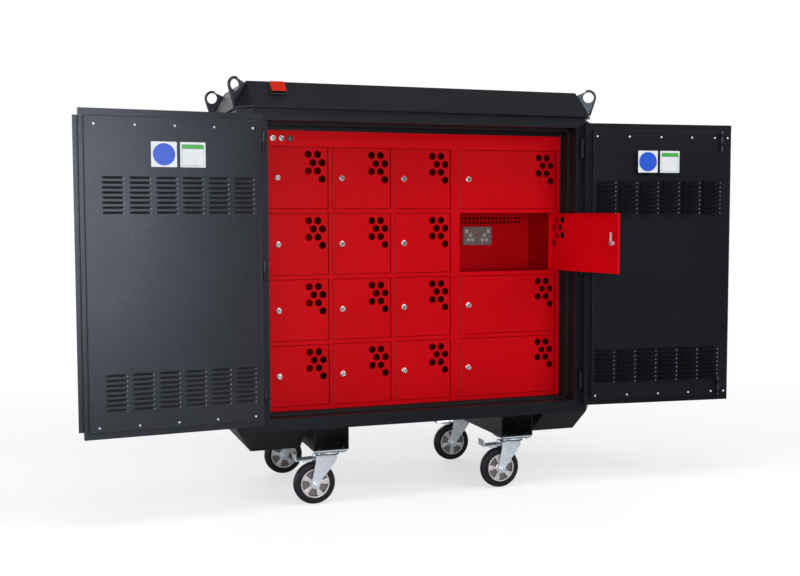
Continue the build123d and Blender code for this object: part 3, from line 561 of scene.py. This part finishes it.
def facing(place, turn=FLAT):
    """Frame at a point: X to the right, Y up and Z towards the viewer, all turned where a turn is given."""
    return Matrix.Translation(place) @ turn @ UPRIGHT


def add_piece(name, mesh, body, slot, *finishes):
    """Adds a mesh as a piece that rides on a body."""
    if not mesh.materials:
        for key in finishes:
            mesh.materials.append(finish(key))
    piece = linked(name, mesh)
    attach(piece, body)
    return piece


def leaf_turn(side):
    """How far an outer leaf leans from flat open, in radians about Z."""
    lean = math.radians(180 + JOINTS[side + "_door_hinge"]["range_deg"][0])
    return lean if side == "left" else -lean


def leaf_place(side):
    """Frame of an outer leaf on its hinge axis: X to the right, Y into the leaf, Z up from the floor."""
    axis = Vector(JOINTS[side + "_door_hinge"]["pos_m"])
    return Matrix.Translation((axis.x, axis.y, 0)) @ Matrix.Rotation(leaf_turn(side), 4, "Z")


def leaf_face(side):
    """Level of the liner's face in the leaf's frame."""
    back = leaf_place(side).inverted()
    return min((back @ point.co).y for point in NODES[side + "_door_liner"].data.vertices)


def leaf_point(side, reach, level, proud=0.0):
    """A point on a liner's face, by its distance from the hinge axis and its height."""
    x = -reach if side == "left" else reach
    return leaf_place(side) @ Vector((x, leaf_face(side) - proud, level))


def leaf_plane(side, reach, level):
    """Frame on a liner's face: X to the viewer's right, Y up, Z out of the face."""
    return facing(leaf_point(side, reach, level), Matrix.Rotation(leaf_turn(side), 4, "Z"))


def lock_plane(locker):
    """Frame of a locker's lock on the closed face of its door, Z towards the viewer, turned with the door."""
    hinge = JOINTS[f"locker_{locker}_hinge"]
    axis = Vector(hinge["pos_m"])
    opened = Matrix.Rotation(math.radians(-hinge["range_deg"][0]), 4, "Z")
    local = (-NARROW_LOCK_REACH, FACE_Y - axis.y, 0)
    if locker in WIDE_LOCKERS:
        local = (-WIDE_LOCK_REACH, -PIN_DEPTH, 0)
    return facing(axis, opened @ Matrix.Translation(local))


# Settings


def metres(name, description, default, **more):
    """A length."""
    return FloatProperty(name=name, description=description, default=default, unit="LENGTH", **more)


def degrees(name, description, default):
    """An angle."""
    return FloatProperty(name=name, description=description, default=math.radians(default), subtype="ANGLE")


def number(name, description, default):
    """A plain number."""
    return FloatProperty(name=name, description=description, default=default)


def tone(name, description, default):
    """A colour."""
    return FloatVectorProperty(name=name, description=description, default=default, subtype="COLOR")


class CoatingSettings(bpy.types.PropertyGroup):
    """Colours and gloss of the coatings."""

    body: tone("Body", "Anthracite of the body", (0.0078, 0.0078, 0.0096))
    door: tone("Doors", "Anthracite of the leaves", (0.0076, 0.0078, 0.0100))
    locker: tone("Lockers", "Red of the lockers", (0.56, 0.0008, 0.0052))
    body_roughness: number("Body roughness", "Roughness of the body coat", 0.4)
    door_roughness: number("Door roughness", "Roughness of the door coat", 0.33)
    locker_roughness: number("Locker roughness", "Roughness of the red coat", 0.42)
    grain: metres("Grain", "Depth of the coat's texture", 0.00016, precision=5)


class RivetSettings(bpy.types.PropertyGroup):
    """Rivets of the door liners."""

    radius: metres("Radius", "Radius of a rivet head", 0.0042)
    height: metres("Height", "Height of its crown", 0.0016)
    top_level: metres("Top row", "Height of the top row", 1.568)
    low_level: metres("Low row", "Height of the low row", 0.417)


class LouvreSettings(bpy.types.PropertyGroup):
    """Pressed louvres of the door liners."""

    columns: IntProperty(name="Columns", description="Louvres across", default=6)
    rows: IntProperty(name="Rows", description="Louvres in a column", default=8)
    first: metres("First", "First column from the hinge", 0.092)
    across: metres("Pitch across", "Column pitch", 0.1016)
    up: metres("Pitch up", "Row pitch", 0.019)
    length: metres("Length", "Length of a slot", 0.076)
    height: metres("Height", "Height of a slot", 0.009)
    depth: metres("Depth", "Depth of the pressing", 0.009)
    low_level: metres("Low block", "Middle of the low block", 0.548)
    top_level: metres("Top block", "Middle of the top block", 1.302)


class PlateSettings(bpy.types.PropertyGroup):
    """Plain coloured plates on the door liners."""

    width: metres("Width", "Width of a plate", 0.099)
    height: metres("Height", "Height of a plate", 0.097)
    level: metres("Level", "Height of the plates' middle", 1.459)
    film: metres("Film", "Thickness of a plate", 0.0006)
    blue: tone("Blue", "Colour of the disc", (0.014, 0.085, 0.6))
    green: tone("Green", "Colour of the band", (0.06, 0.39, 0.07))


class WheelSettings(bpy.types.PropertyGroup):
    """Rubber tyres on cast rims."""

    rim: metres("Rim", "Radius under the tyre", 0.061)
    hub: metres("Hub", "Radius of the hub", 0.018)
    bore: metres("Bore", "Radius over the axle", 0.0081)
    tyre: metres("Tyre", "Width of the tyre", 0.046)
    spokes: IntProperty(name="Spokes", description="Spokes of the rim", default=5)


class LockSettings(bpy.types.PropertyGroup):
    """Faces of the cam locks."""

    knob: metres("Knob", "Radius of the knob", 0.0093)
    flange: metres("Flange", "Radius of the flange", 0.0122)
    reach: metres("Reach", "How far the knob stands out", 0.0154)


class LampSettings(bpy.types.PropertyGroup):
    """Marker lamp on the roof."""

    prism: metres("Prism", "Width of one prism", 0.0052)
    relief: metres("Relief", "Height of one prism", 0.0013)
    red: tone("Red", "Lens colour", (0.5, 0.012, 0.003))


class StageSettings(bpy.types.PropertyGroup):
    """Camera and light."""

    camera: FloatVectorProperty(
        name="Camera", description="Place of the camera", subtype="XYZ", default=(-1.6281, -4.5790, 1.2250)
    )
    yaw: degrees("Yaw", "Turn to the right", 19.07)
    pitch: degrees("Pitch", "Tilt downward", 3.84)
    roll: degrees("Roll", "Roll of the camera", -0.13)
    lens: number("Lens", "Focal length in millimetres", 48.98)
    key: number("Key", "Power of the front softbox in watts", 135.0)
    sky: number("Sky", "Level of the dim studio light", 0.3)


# Steps


class CABINET_OT_make_finishes(bpy.types.Operator):
    """Makes the coatings and metals"""

    bl_idname = "cabinet.make_finishes"
    bl_label = "Make the finishes"

    def execute(self, context):
        coat = context.scene.cabinet_coating
        plate = context.scene.cabinet_plates
        dull = coat.door_roughness + 0.05
        painted = [
            ("body", "anthracite_body", coat.body, coat.body_roughness, coat.grain * 0.5, 0.3, 0.22),
            ("door", "anthracite_door", coat.door, coat.door_roughness, coat.grain, 0.8, 0.56),
            # A shaded copy of the door coat for the right leaf: less shine, rougher and fewer pale flecks, so
            # it stays darker
            ("door_right", "anthracite_right_door", coat.door, dull, coat.grain, 0.5, 0.2),
            # Painted shade and light in the louvre recesses: the right leaf's are darker than its coat, the
            # left leaf's paler
            ("recess_right", "shaded_recess", (0.0045, 0.0045, 0.0055), 0.6, coat.grain, 0.2, 0.06),
            ("recess_left", "lit_recess", (0.02, 0.021, 0.026), 0.5, coat.grain, 0.2, 0.3),
        ]
        for key, *values in painted:
            FINISHES[key] = painted_steel(*values)
        # Painted light: a copy of the locker red 20 % brighter, for the fascia and the open locker's door
        bright = tinted(coat.locker, 1.2)
        FINISHES["fascia"] = locker_red("red_fascia", bright, coat.locker_roughness)
        FINISHES["red"] = locker_red("red_lockers", coat.locker, coat.locker_roughness)
        for locker in LOCKERS:
            shut = locker != OPEN_LOCKER
            # The open locker's door takes the brighter red: painted light
            values = [coat.locker if shut else bright, coat.locker_roughness]
            values.append(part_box("locker_door_" + locker) if shut else None)
            values.append(None if locker in WIDE_LOCKERS else lock_plane(locker).translation)
            FINISHES["red_" + locker] = locker_red("red_door_" + locker, *values)
        for key, (make, *values) in PLAIN_FINISHES.items():
            FINISHES[key] = make(*values)
        FINISHES["lens"] = lens_red("red_lens", context.scene.cabinet_lamp.red)
        FINISHES["blue_film"] = moulded("blue_film", plate.blue, 0.34)
        FINISHES["green_film"] = moulded("green_film", plate.green, 0.34)
        return {"FINISHED"}


COATED = {
    "body": (
        "cabinet_shell",
        "door_frame",
        "roof_cap",
        "base_skirts",
        "fork_pockets",
        "hinge_mounts",
        "bolt_keeps",
    ),
    "door": ("left_door", "lifting_eyes"),
    # The right leaf takes the shaded copy of the door coat
    "door_right": ("right_door",),
    "black": ("lamp_base",),
    "lens": ("lamp_lens",),
    "chrome": ("door_handle", "panel_fittings", "panel_button"),
    "bolt": ("slide_bolt",),
    "seal": ("door_seal",),
    "red": ("locker_unit", "locker_door"),
    "fascia": ("fascia_panel",),
    "socket": ("socket_outlets",),
    "ivory": ("socket_rocker",),
    "mount": ("caster_mounts",),
    "zinc": ("lock_", "caster_fork", "caster_brake"),
    "aluminium": ("caster_wheel",),
}
NODE_FINISHES = {start: key for key, starts in COATED.items() for start in starts}


class CABINET_OT_coat_parts(bpy.types.Operator):
    """Gives each construction part its finish"""

    bl_idname = "cabinet.coat_parts"
    bl_label = "Coat the parts"

    def execute(self, context):
        for name, node in NODES.items():
            starts = [start for start in NODE_FINISHES if name.startswith(start)]
            if not starts:
                raise RuntimeError(f"no finish for {name}")
            key = NODE_FINISHES[max(starts, key=len)]
            own = "red_" + name.removeprefix("locker_door_")
            coat = finish(own if own in FINISHES else key)
            if not node.material_slots:
                node.data.materials.append(coat)
            for place in node.material_slots:
                place.material = coat
        return {"FINISHED"}


# Distances from the hinge axis
RIVET_REACH = {
    "left": (0.053, 0.208, 0.362, 0.514, 0.666),
    "right": (0.044, 0.197, 0.349, 0.498, 0.611, 0.674),
}
SHEET = 0.0008
BEHIND_FACE = -0.0004


class CABINET_OT_add_rivets(bpy.types.Operator):
    """Sets the rivets along the top and foot of each door liner"""

    bl_idname = "cabinet.add_rivets"
    bl_label = "Add the rivets"

    def execute(self, context):
        sizes = context.scene.cabinet_rivets
        studs = stud_pattern()
        for side in SIDES:
            levels = (sizes.top_level, sizes.low_level)
            points = [leaf_point(side, reach, level) for level in levels for reach in RIVET_REACH[side]]
            values = {"Sides": 20, "Radius": sizes.radius, "Height": 0.001, "Crown": sizes.height}
            turn = (math.pi / 2, 0.0, leaf_turn(side))
            mesh = studs.mesh("rivets", points, "zinc", turn, **values)
            add_piece(f"liner_rivets_{side}", mesh, side + "_door", "zinc")
        return {"FINISHED"}


class CABINET_OT_add_louvres(bpy.types.Operator):
    """Presses the louvres behind the slots of each door liner"""

    bl_idname = "cabinet.add_louvres"
    bl_label = "Add the louvres"

    def execute(self, context):
        sizes = context.scene.cabinet_louvres
        scoops = scoop_pattern()
        studs = stud_pattern()
        reaches = [sizes.first + column * sizes.across for column in range(sizes.columns)]
        rises = [(row - (sizes.rows - 1) / 2) * sizes.up for row in range(sizes.rows)]
        slot = {"Length": sizes.length, "Height": sizes.height, "Depth": sizes.depth, "Sheet": SHEET}
        # Bright steel dots at the lower right end of each slot: painted glints of the pressed ends
        dot = {"Sides": 10, "Radius": 0.0022, "Height": 0.0002, "Crown": 0.0011}
        corner = Vector((sizes.length / 2 + 0.003, BEHIND_FACE, -sizes.height * 0.4))
        for side in SIDES:
            points = [
                leaf_point(side, reach, level + rise, BEHIND_FACE)
                for level in (sizes.low_level, sizes.top_level)
                for reach in reaches
                for rise in rises
            ]
            turn = (math.pi / 2, 0.0, leaf_turn(side))
            # The right leaf's louvres take the painted shade, the left leaf's the painted light
            mesh = scoops.mesh("louvres", points, "recess_" + side, turn, **slot)
            add_piece(f"liner_louvres_{side}", mesh, side + "_door", "door_paint")
            # Places the painted glint dots
            end = leaf_place(side).to_3x3() @ corner
            ends = [point + end for point in points]
            mesh = studs.mesh("ends", ends, "steel", turn, **dot)
            add_piece(f"louvre_glint_dots_{side}", mesh, side + "_door", "zinc")
        return {"FINISHED"}


# Distances from the hinge axis to each plate's middle, and the widths' factor
PLATE_REACH = {"left": {"disc": 0.4045, "band": 0.293}, "right": {"disc": 0.285, "band": 0.3905}}
PLATE_WIDTH = {"left": 1.0, "right": 0.95}


class CABINET_OT_add_plates(bpy.types.Operator):
    """Sticks two plain coloured plates on each door liner"""

    bl_idname = "cabinet.add_plates"
    bl_label = "Add the plates"

    def execute(self, context):
        sizes = context.scene.cabinet_plates
        film = sizes.film
        tall = sizes.height
        line = 0.0012
        for side in SIDES:
            width = sizes.width * PLATE_WIDTH[side]
            inner = width * 0.86
            plates = {key: leaf_plane(side, reach, sizes.level) for key, reach in PLATE_REACH[side].items()}
            bm = bmesh.new()
            for place in plates.values():
                slab(bm, rounded(width, tall, 0.003), 0.0, film, place, 0, film / 4)
            disc = rounded(tall * 0.88, tall * 0.88, tall * 0.44 - 1e-5, 14)
            slab(bm, disc, film, film * 1.4, plates["disc"], 1)
            marks = [
                rounded(inner, tall * 0.18, 0.002, centre=(0.0, tall * 0.32)),
                rounded(line, tall * 0.74, 0.0005, centre=(-inner / 2, -0.006)),
                rounded(line, tall * 0.74, 0.0005, centre=(inner / 2, -0.006)),
                rounded(inner, line, 0.0005, centre=(0.0, tall * -0.43)),
            ]
            for mark in marks:
                slab(bm, mark, film, film * 1.4, plates["band"], 2)
            films = ("white_film", "blue_film", "green_film")
            add_piece(f"liner_plates_{side}", mesh_of(bm, "plates"), side + "_door", "socket_plastic", *films)
        return {"FINISHED"}


# Out from the rim, or down from the tread, and in from the wall
TYRE_BEAD = (
    (0.0, 0.003),
    (0.0015, 0.001),
    (0.004, 0.0002),
    (0.0095, 0.0002),
    (0.0102, 0.0028),
    (0.0122, 0.0028),
    (0.0132, 0.0006),
)
TYRE_SHOULDER = ((0.0085, 0.0012), (0.0078, 0.0032), (0.0064, 0.0036), (0.0045, 0.0052), (0.0014, 0.0105))
TREAD_HALF = 0.007
HUB_HALF = 0.0306
WEB_HALF = 0.0095
POCKET_HALF = 0.0145
POCKET_MARGIN = 0.0055


def tyre_profile(sizes, outer):
    """Section of the tyre: beads, a ring groove in each wall and a crowned tread."""
    half = sizes.tyre / 2
    side = [(sizes.rim + out, half - dip) for out, dip in TYRE_BEAD]
    side += [(outer - down, half - dip) for down, dip in TYRE_SHOULDER]
    return mirrored(side + [(outer, TREAD_HALF)])


def rim_profile(sizes):
    """Section of the rim: hub, recessed web and the lip that holds the tyre."""
    hub, rim, half = sizes.hub, sizes.rim, sizes.tyre / 2
    side = [
        (sizes.bore, HUB_HALF),
        (hub - 0.0025, HUB_HALF),
        (hub - 0.0012, 0.029),
        (hub, 0.02),
        (hub + 0.0055, 0.0165),
        (hub + 0.007, WEB_HALF),
        (rim - 0.007, WEB_HALF),
        (rim - 0.0048, half - 0.004),
        (rim - 0.003, half - 0.0016),
        (rim - 0.0008, half - 0.0012),
        (rim + 0.0008, half - 0.0022),
    ]
    return mirrored(side)


# Degrees by which each wheel's spokes are turned
WHEEL_PHASE = {"front_left": 6.0, "front_right": 34.0, "back_left": 24.0, "back_right": 52.0}


class CABINET_OT_add_wheels(bpy.types.Operator):
    """Puts a rubber tyre on a spoked cast rim for each caster"""

    bl_idname = "cabinet.add_wheels"
    bl_label = "Add the wheels"

    def execute(self, context):
        sizes = context.scene.cabinet_wheels
        spokes = spoke_pattern()
        arm = {"Inner": sizes.hub + 0.003, "Outer": sizes.rim - 0.0052}
        arm.update({"Share": math.pi / sizes.spokes, "Thickness": 0.0335})
        for corner in CORNERS:
            node = "caster_wheel_" + corner
            body = "wheel_" + corner
            low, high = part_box(node)
            middle = (low + high) / 2
            bm = bmesh.new()
            turned(bm, tyre_profile(sizes, (high.z - low.z) / 2), facing(middle), 72)
            tyre = add_piece("tyre_" + corner, mesh_of(bm, "tyre"), body, "rubber", "tyre")
            bm = bmesh.new()
            turned(bm, rim_profile(sizes), facing(middle), 56)
            phase = math.radians(WHEEL_PHASE[corner])
            web = spokes.mesh("web", [(0, 0, 0)] * sizes.spokes, "aluminium", Phase=phase, **arm)
            web.transform(Matrix.Translation(middle))
            bm.from_mesh(web)
            # Faces in the recessed pockets take the darker aluminium: painted shade
            for face in bm.faces:
                spot = face.calc_center_median() - middle
                reach = math.hypot(spot.x, spot.z)
                in_shaded_pocket = sizes.hub + POCKET_MARGIN < reach < sizes.rim - POCKET_MARGIN
                face.material_index = int(in_shaded_pocket and abs(spot.y) < POCKET_HALF)
            rim = add_piece("rim_" + corner, mesh_of(bm, "rim", 40), body, "zinc", "aluminium", "pocket")
            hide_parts(node)
            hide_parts(node)
        return {"FINISHED"}


# Radius and distance from the wheel's middle, then radius and depth below the fork's top
WASHER = ((0.0082, 0.0351), (0.0148, 0.0351), (0.0148, 0.0362), (0.0138, 0.0368), (0.0082, 0.0368))
DUST_RING = ((0.0455, 0.0052), (0.0472, 0.0044), (0.0472, 0.0012), (0.0452, 0.0004), (0.0452, 0.0052))
AXLE_END = 0.0425


class CABINET_OT_add_caster_fittings(bpy.types.Operator):
    """Adds the axle ends, washers and dust rings of the casters"""

    bl_idname = "cabinet.add_caster_fittings"
    bl_label = "Add the caster fittings"

    def execute(self, context):
        studs = stud_pattern()
        tip = {"Sides": 24, "Radius": 0.0062, "Height": 0.0016, "Crown": 0.0016}
        for corner in CORNERS:
            body = "swivel_" + corner
            wheel = sum(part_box("caster_wheel_" + corner), Vector()) / 2
            bm = bmesh.new()
            for way in (-1, 1):
                lean = way * -math.pi / 2
                turned(bm, WASHER, Matrix.Translation(wheel) @ Matrix.Rotation(lean, 4, "X"), 32)
                end = [wheel + Vector((0, way * AXLE_END, 0))]
                bm.from_mesh(studs.mesh("tips", end, "zinc", (lean, 0.0, 0.0), **tip))
            add_piece("axle_ends_" + corner, mesh_of(bm, "axle_ends"), body, "zinc", "zinc")
            place = Vector(JOINTS["swivel_" + corner]["pos_m"])
            place.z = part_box("caster_fork_" + corner)[1].z
            bm = bmesh.new()
            turned(bm, [(radius, -down) for radius, down in DUST_RING], Matrix.Translation(place), 56)
            add_piece("dust_ring_" + corner, mesh_of(bm, "dust_ring"), body, "black_plastic", "black")
        return {"FINISHED"}


NUT_RADIUS = 0.0085


class CABINET_OT_add_locks(bpy.types.Operator):
    """Adds the turned faces, key slots and nuts of the sixteen cam locks"""

    bl_idname = "cabinet.add_locks"
    bl_label = "Add the locks"

    def execute(self, context):
        sizes = context.scene.cabinet_locks
        flange, knob, tip = sizes.flange, sizes.knob, sizes.reach
        face = [
            (0, 0.0002),
            (flange, 0.0002),
            (flange, 0.0028),
            (flange - 0.0012, 0.0038),
            (knob + 0.0002, 0.0042),
            (knob, 0.0052),
            (knob, tip - 0.0016),
            (knob - 0.0012, tip),
            (knob - 0.0026, tip),
            (knob - 0.0030, tip - 0.0003),
            (0, tip - 0.0003),
        ]
        angles = [k * math.pi / 3 for k in range(6)]
        nut = [(NUT_RADIUS * math.cos(angle), NUT_RADIUS * math.sin(angle)) for angle in angles]
        for locker in LOCKERS:
            place = lock_plane(locker)
            bm = bmesh.new()
            turned(bm, face, place, 32)
            slab(bm, rounded(0.0013, 0.0062, 0.0006, 3), tip - 0.0004, tip - 0.00022, place, 1)
            slab(bm, nut, -0.0215, -0.0172, place, 0, 0.0004)
            body = ("lock_" if locker in WIDE_LOCKERS else "locker_") + locker
            add_piece("lock_face_" + locker, mesh_of(bm, "lock_face"), body, "chrome", "chrome", "black")
        return {"FINISHED"}


# Across and up from the middle of one outlet, then the hole's width and height
PIN_BUSHES = (
    (0.0, 0.0035, 0.0026, 0.0058),
    (-0.0108, -0.0185, 0.0048, 0.0026),
    (0.0108, -0.0185, 0.0048, 0.0026),
)
SOCKET_LAMP = ((0, 0), (0.0042, 0), (0.0042, 0.0008), (0.003, 0.0016), (0, 0.002))
SOCKET_SCREW = ((0, 0), (0.0032, 0), (0.0032, 0.0004), (0.002, 0.0010), (0, 0.0012))


def socket_centre():
    """Middle of the power socket in the open locker, on its face."""
    rockers = [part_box("socket_rocker_" + side) for side in SIDES]
    low = min(box[0].x for box in rockers)
    high = max(box[1].x for box in rockers)
    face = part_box("socket_outlets")[0].y
    level = (rockers[0][0].z + rockers[0][1].z) / 2 - 0.023
    return Vector(((low + high) / 2, face, level))


class CABINET_OT_add_socket_details(bpy.types.Operator):
    """Adds the pin bushes, lamps and screws of the socket in the open locker"""

    bl_idname = "cabinet.add_socket_details"
    bl_label = "Add the socket details"

    def execute(self, context):
        centre = socket_centre()
        place = facing(centre)
        bm = bmesh.new()
        for side in (-1, 1):
            for dx, dz, wide, tall in PIN_BUSHES:
                spot = (side * 0.036 + dx, dz)
                slab(bm, rounded(0.0165, 0.0155, 0.0076, 6, spot), 0.0, 0.0007, place, 0, 0.0002)
                slab(bm, rounded(wide, tall, 0.0005, 2, spot), 0.0007, 0.00078, place, 1)
        for level, slot in ((0.018, 2), (0.005, 3)):
            turned(bm, SOCKET_LAMP, facing(centre + Vector((0, 0, level))), 20, slot)
        for side in (-1, 1):
            turned(bm, SOCKET_SCREW, facing(centre + Vector((side * 0.0602, 0, 0))), 20, 4)
        coats = ("ivory", "black", "amber", "ruby", "steel")
        add_piece("socket_details", mesh_of(bm, "socket_details"), "cabinet", "socket_plastic", *coats)
        return {"FINISHED"}


GLASS = ((0, 0.0055), (0.0078, 0.0055), (0.0078, 0.0064), (0.0062, 0.0085), (0.0034, 0.0098), (0, 0.0102))
BEZEL = (
    (0, 0.0002),
    (0.0122, 0.0002),
    (0.0122, 0.0028),
    (0.0108, 0.0042),
    (0.0096, 0.0042),
    (0.009, 0.0036),
    (0, 0.0036),
)


class CABINET_OT_add_panel_details(bpy.types.Operator):
    """Adds the indicator's glass and the switch's black bezel on the fascia"""

    bl_idname = "cabinet.add_panel_details"
    bl_label = "Add the panel details"

    def execute(self, context):
        low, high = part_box("panel_fittings")
        radius = (high.z - low.z) / 2
        level = (low.z + high.z) / 2
        bm = bmesh.new()
        turned(bm, GLASS, facing((low.x + radius, FACE_Y, level)), 32)
        add_piece("indicator_glass", mesh_of(bm, "glass", 60), "cabinet", "socket_plastic", "clear")
        bm = bmesh.new()
        place = facing((high.x - radius, FACE_Y, level))
        turned(bm, BEZEL, place, 36)
        slab(bm, rounded(0.0022, 0.0125, 0.001, 3), 0.0036, 0.0038, place, 1)
        add_piece("switch_bezel", mesh_of(bm, "bezel"), "cabinet", "black_plastic", "black", "steel")
        return {"FINISHED"}


PRISM_ROWS = 10


def lens_plane():
    """Frame on the marker lens's face: X to the right, Y up the slope, Z out of it."""
    mesh = NODES["lamp_lens"].data
    face = max(mesh.polygons, key=lambda polygon: polygon.area if polygon.normal.z > 0.3 else 0.0)
    out = face.normal.normalized()
    across = Vector((1, 0, 0))
    low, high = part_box("lamp_lens")
    middle = (low + high) / 2
    lift = max((point.co - middle).dot(out) for point in mesh.vertices)
    turn = Matrix((across, out.cross(across), out)).transposed().to_4x4()
    return Matrix.Translation(middle + out * lift) @ turn


class CABINET_OT_add_lens_prisms(bpy.types.Operator):
    """Moulds the rows of small prisms on the marker lamp's lens"""

    bl_idname = "cabinet.add_lens_prisms"
    bl_label = "Add the lens prisms"

    def execute(self, context):
        sizes = context.scene.cabinet_lamp
        plane = lens_plane()
        spots = [(row - (PRISM_ROWS - 1) / 2) * sizes.prism for row in range(PRISM_ROWS)]
        points = [plane @ Vector((x, y, -0.0001)) for x in spots for y in spots]
        turn = tuple(plane.to_euler())
        values = {"Width": sizes.prism, "Height": sizes.relief}
        mesh = prism_pattern().mesh("prisms", points, "lens", turn, **values)
        add_piece("lens_prisms", mesh, "cabinet", "red_lens")
        return {"FINISHED"}


# Name, place, aim, watts, width and height
SOFTBOXES = (
    ("high_softbox", (3.0, -3.6, 3.6), (0.3, 0.0, 0.9), 62.0, 2.0, 1.6),
    ("top_softbox", (-0.2, -1.6, 4.8), (0.0, 0.0, 0.0), 70.0, 3.6, 1.6),
    ("left_softbox", (-5.0, -0.6, 1.7), (-0.6, 0.0, 1.0), 70.0, 1.6, 2.6),
    ("back_softbox", (1.0, 5.2, 2.2), (0.0, 0.2, 1.0), 90.0, 3.0, 2.0),
)


def add_lamp(name, place, aim, power, width, height):
    """A softbox aimed at a point."""
    light = bpy.data.lights.new(name, "AREA")
    light.shape = "RECTANGLE"
    light.size = width
    light.size_y = height
    light.energy = power
    lamp = linked(name, light)
    lamp.location = place
    lamp.rotation_euler = (Vector(aim) - Vector(place)).to_track_quat("-Z", "Y").to_euler()


class CABINET_OT_set_stage(bpy.types.Operator):
    """Sets the floor, the studio light and the camera"""

    bl_idname = "cabinet.set_stage"
    bl_label = "Set the stage"

    def execute(self, context):
        sizes = context.scene.cabinet_stage
        scene = context.scene
        bm = bmesh.new()
        bmesh.ops.create_grid(bm, x_segments=1, y_segments=1, size=30)
        floor = linked("studio_floor", mesh_of(bm, "studio_floor"))
        floor.data.materials.append(self.floor_finish())
        self.light_world(scene, sizes)
        add_lamp("front_softbox", (-1.15, -5.6, 1.4), (-0.2, 0.0, 1.0), sizes.key, 2.3, 2.2)
        for softbox in SOFTBOXES:
            add_lamp(*softbox)
        view = bpy.data.cameras.new("camera")
        view.lens = sizes.lens
        view.sensor_width = 36.0
        view.clip_end = 100.0
        camera = linked("camera", view)
        camera.location = sizes.camera
        turn = Matrix.Rotation(-sizes.yaw, 4, "Z") @ Matrix.Rotation(math.pi / 2 - sizes.pitch, 4, "X")
        camera.rotation_euler = (turn @ Matrix.Rotation(sizes.roll, 4, "Z")).to_euler()
        scene.camera = camera
        scene.view_settings.view_transform = "Standard"
        return {"FINISHED"}

    def floor_finish(self):
        """Pale floor that keeps the shadow and fades to white for the camera and in reflections."""
        floor = Finish("pale_floor")
        camera, mirror = floor.rays()
        x, y, z = floor.parts(floor.place)
        seen = floor.math("MAXIMUM", camera, mirror * floor.span(y, 0.6, 2.5))
        far = floor.span(floor.math("SQRT", x * x + y * y), 1.8, 4.4) * seen
        tone = floor.mix(floor.noise(0.8, 2) * 0.3, (0.46, 0.46, 0.464, 1.0), (0.44, 0.44, 0.444, 1.0))
        matt = floor.add("ShaderNodeBsdfDiffuse", values={"Color": tone})
        glow = floor.add("ShaderNodeEmission", values={"Color": WHITE, "Strength": seen * 0.62})
        near = floor.add("ShaderNodeAddShader", values={0: matt, 1: glow})
        white = floor.add("ShaderNodeEmission", values={"Color": WHITE, "Strength": 1.0})
        both = floor.add("ShaderNodeMixShader", values={0: far, 1: near, 2: white})
        floor.add("ShaderNodeOutputMaterial", values={"Surface": both})
        return floor.material

    def light_world(self, scene, sizes):
        """White backdrop for the camera. Reflections see it low behind and beside the cabinet, dim above."""
        world = bpy.data.worlds.new("studio")
        world.use_nodes = True
        scene.world = world
        tree = Tree(world.node_tree)
        camera, mirror = tree.rays()
        way = tree.parts(tree.add("ShaderNodeTexCoord", output="Generated"))
        behind = tree.span(way[1], 0.0, 0.4) * tree.span(way[2], 0.75, 0.3)
        above = tree.span(way[2], 0.3, 0.9) * 0.3
        right = tree.span(way[0], 0.55, 0.8) * 0.95
        left = tree.span(way[0], -0.5, -0.8) * 0.95
        beside = tree.math("MAXIMUM", right, left) * tree.span(way[2], 0.6, 0.3)
        shown = tree.math("MAXIMUM", tree.math("MAXIMUM", behind, above), tree.math("MAXIMUM", beside, 0.04))
        level = mirror * shown + (1.0 - mirror) * sizes.sky
        level = camera + (1.0 - camera) * level
        back = tree.add("ShaderNodeBackground", values={"Color": WHITE, "Strength": level})
        tree.add("ShaderNodeOutputWorld", values={"Surface": back})


SETTINGS = {
    "cabinet_coating": CoatingSettings,
    "cabinet_rivets": RivetSettings,
    "cabinet_louvres": LouvreSettings,
    "cabinet_plates": PlateSettings,
    "cabinet_wheels": WheelSettings,
    "cabinet_locks": LockSettings,
    "cabinet_lamp": LampSettings,
    "cabinet_stage": StageSettings,
}

STEPS = (
    CABINET_OT_make_finishes,
    CABINET_OT_coat_parts,
    CABINET_OT_add_rivets,
    CABINET_OT_add_louvres,
    CABINET_OT_add_plates,
    CABINET_OT_add_wheels,
    CABINET_OT_add_caster_fittings,
    CABINET_OT_add_locks,
    CABINET_OT_add_socket_details,
    CABINET_OT_add_panel_details,
    CABINET_OT_add_lens_prisms,
    CABINET_OT_set_stage,
)


class CABINET_PT_steps(bpy.types.Panel):
    """Lists the steps in their order"""

    bl_idname = "CABINET_PT_steps"
    bl_label = "Battery cabinet"
    bl_space_type = "VIEW_3D"
    bl_region_type = "UI"
    bl_category = "Cabinet"

    def draw(self, context):
        for step in STEPS:
            self.layout.operator(step.bl_idname)
        for name, group in SETTINGS.items():
            box = self.layout.box()
            box.label(text=group.__doc__)
            for key in group.__annotations__:
                box.prop(getattr(context.scene, name), key)


def register():
    """Registers the settings, the steps and the panel."""
    for name, group in SETTINGS.items():
        bpy.utils.register_class(group)
        setattr(bpy.types.Scene, name, PointerProperty(type=group))
    for step in (*STEPS, CABINET_PT_steps):
        bpy.utils.register_class(step)


def unregister():
    """Takes them all back."""
    for step in reversed((*STEPS, CABINET_PT_steps)):
        bpy.utils.unregister_class(step)
    for name, group in SETTINGS.items():
        delattr(bpy.types.Scene, name)
        bpy.utils.unregister_class(group)


def main():
    """Runs the steps in order."""
    register()
    for step in STEPS:
        module, name = step.bl_idname.split(".")
        getattr(getattr(bpy.ops, module), name)()


if __name__ == "__main__":
    main()
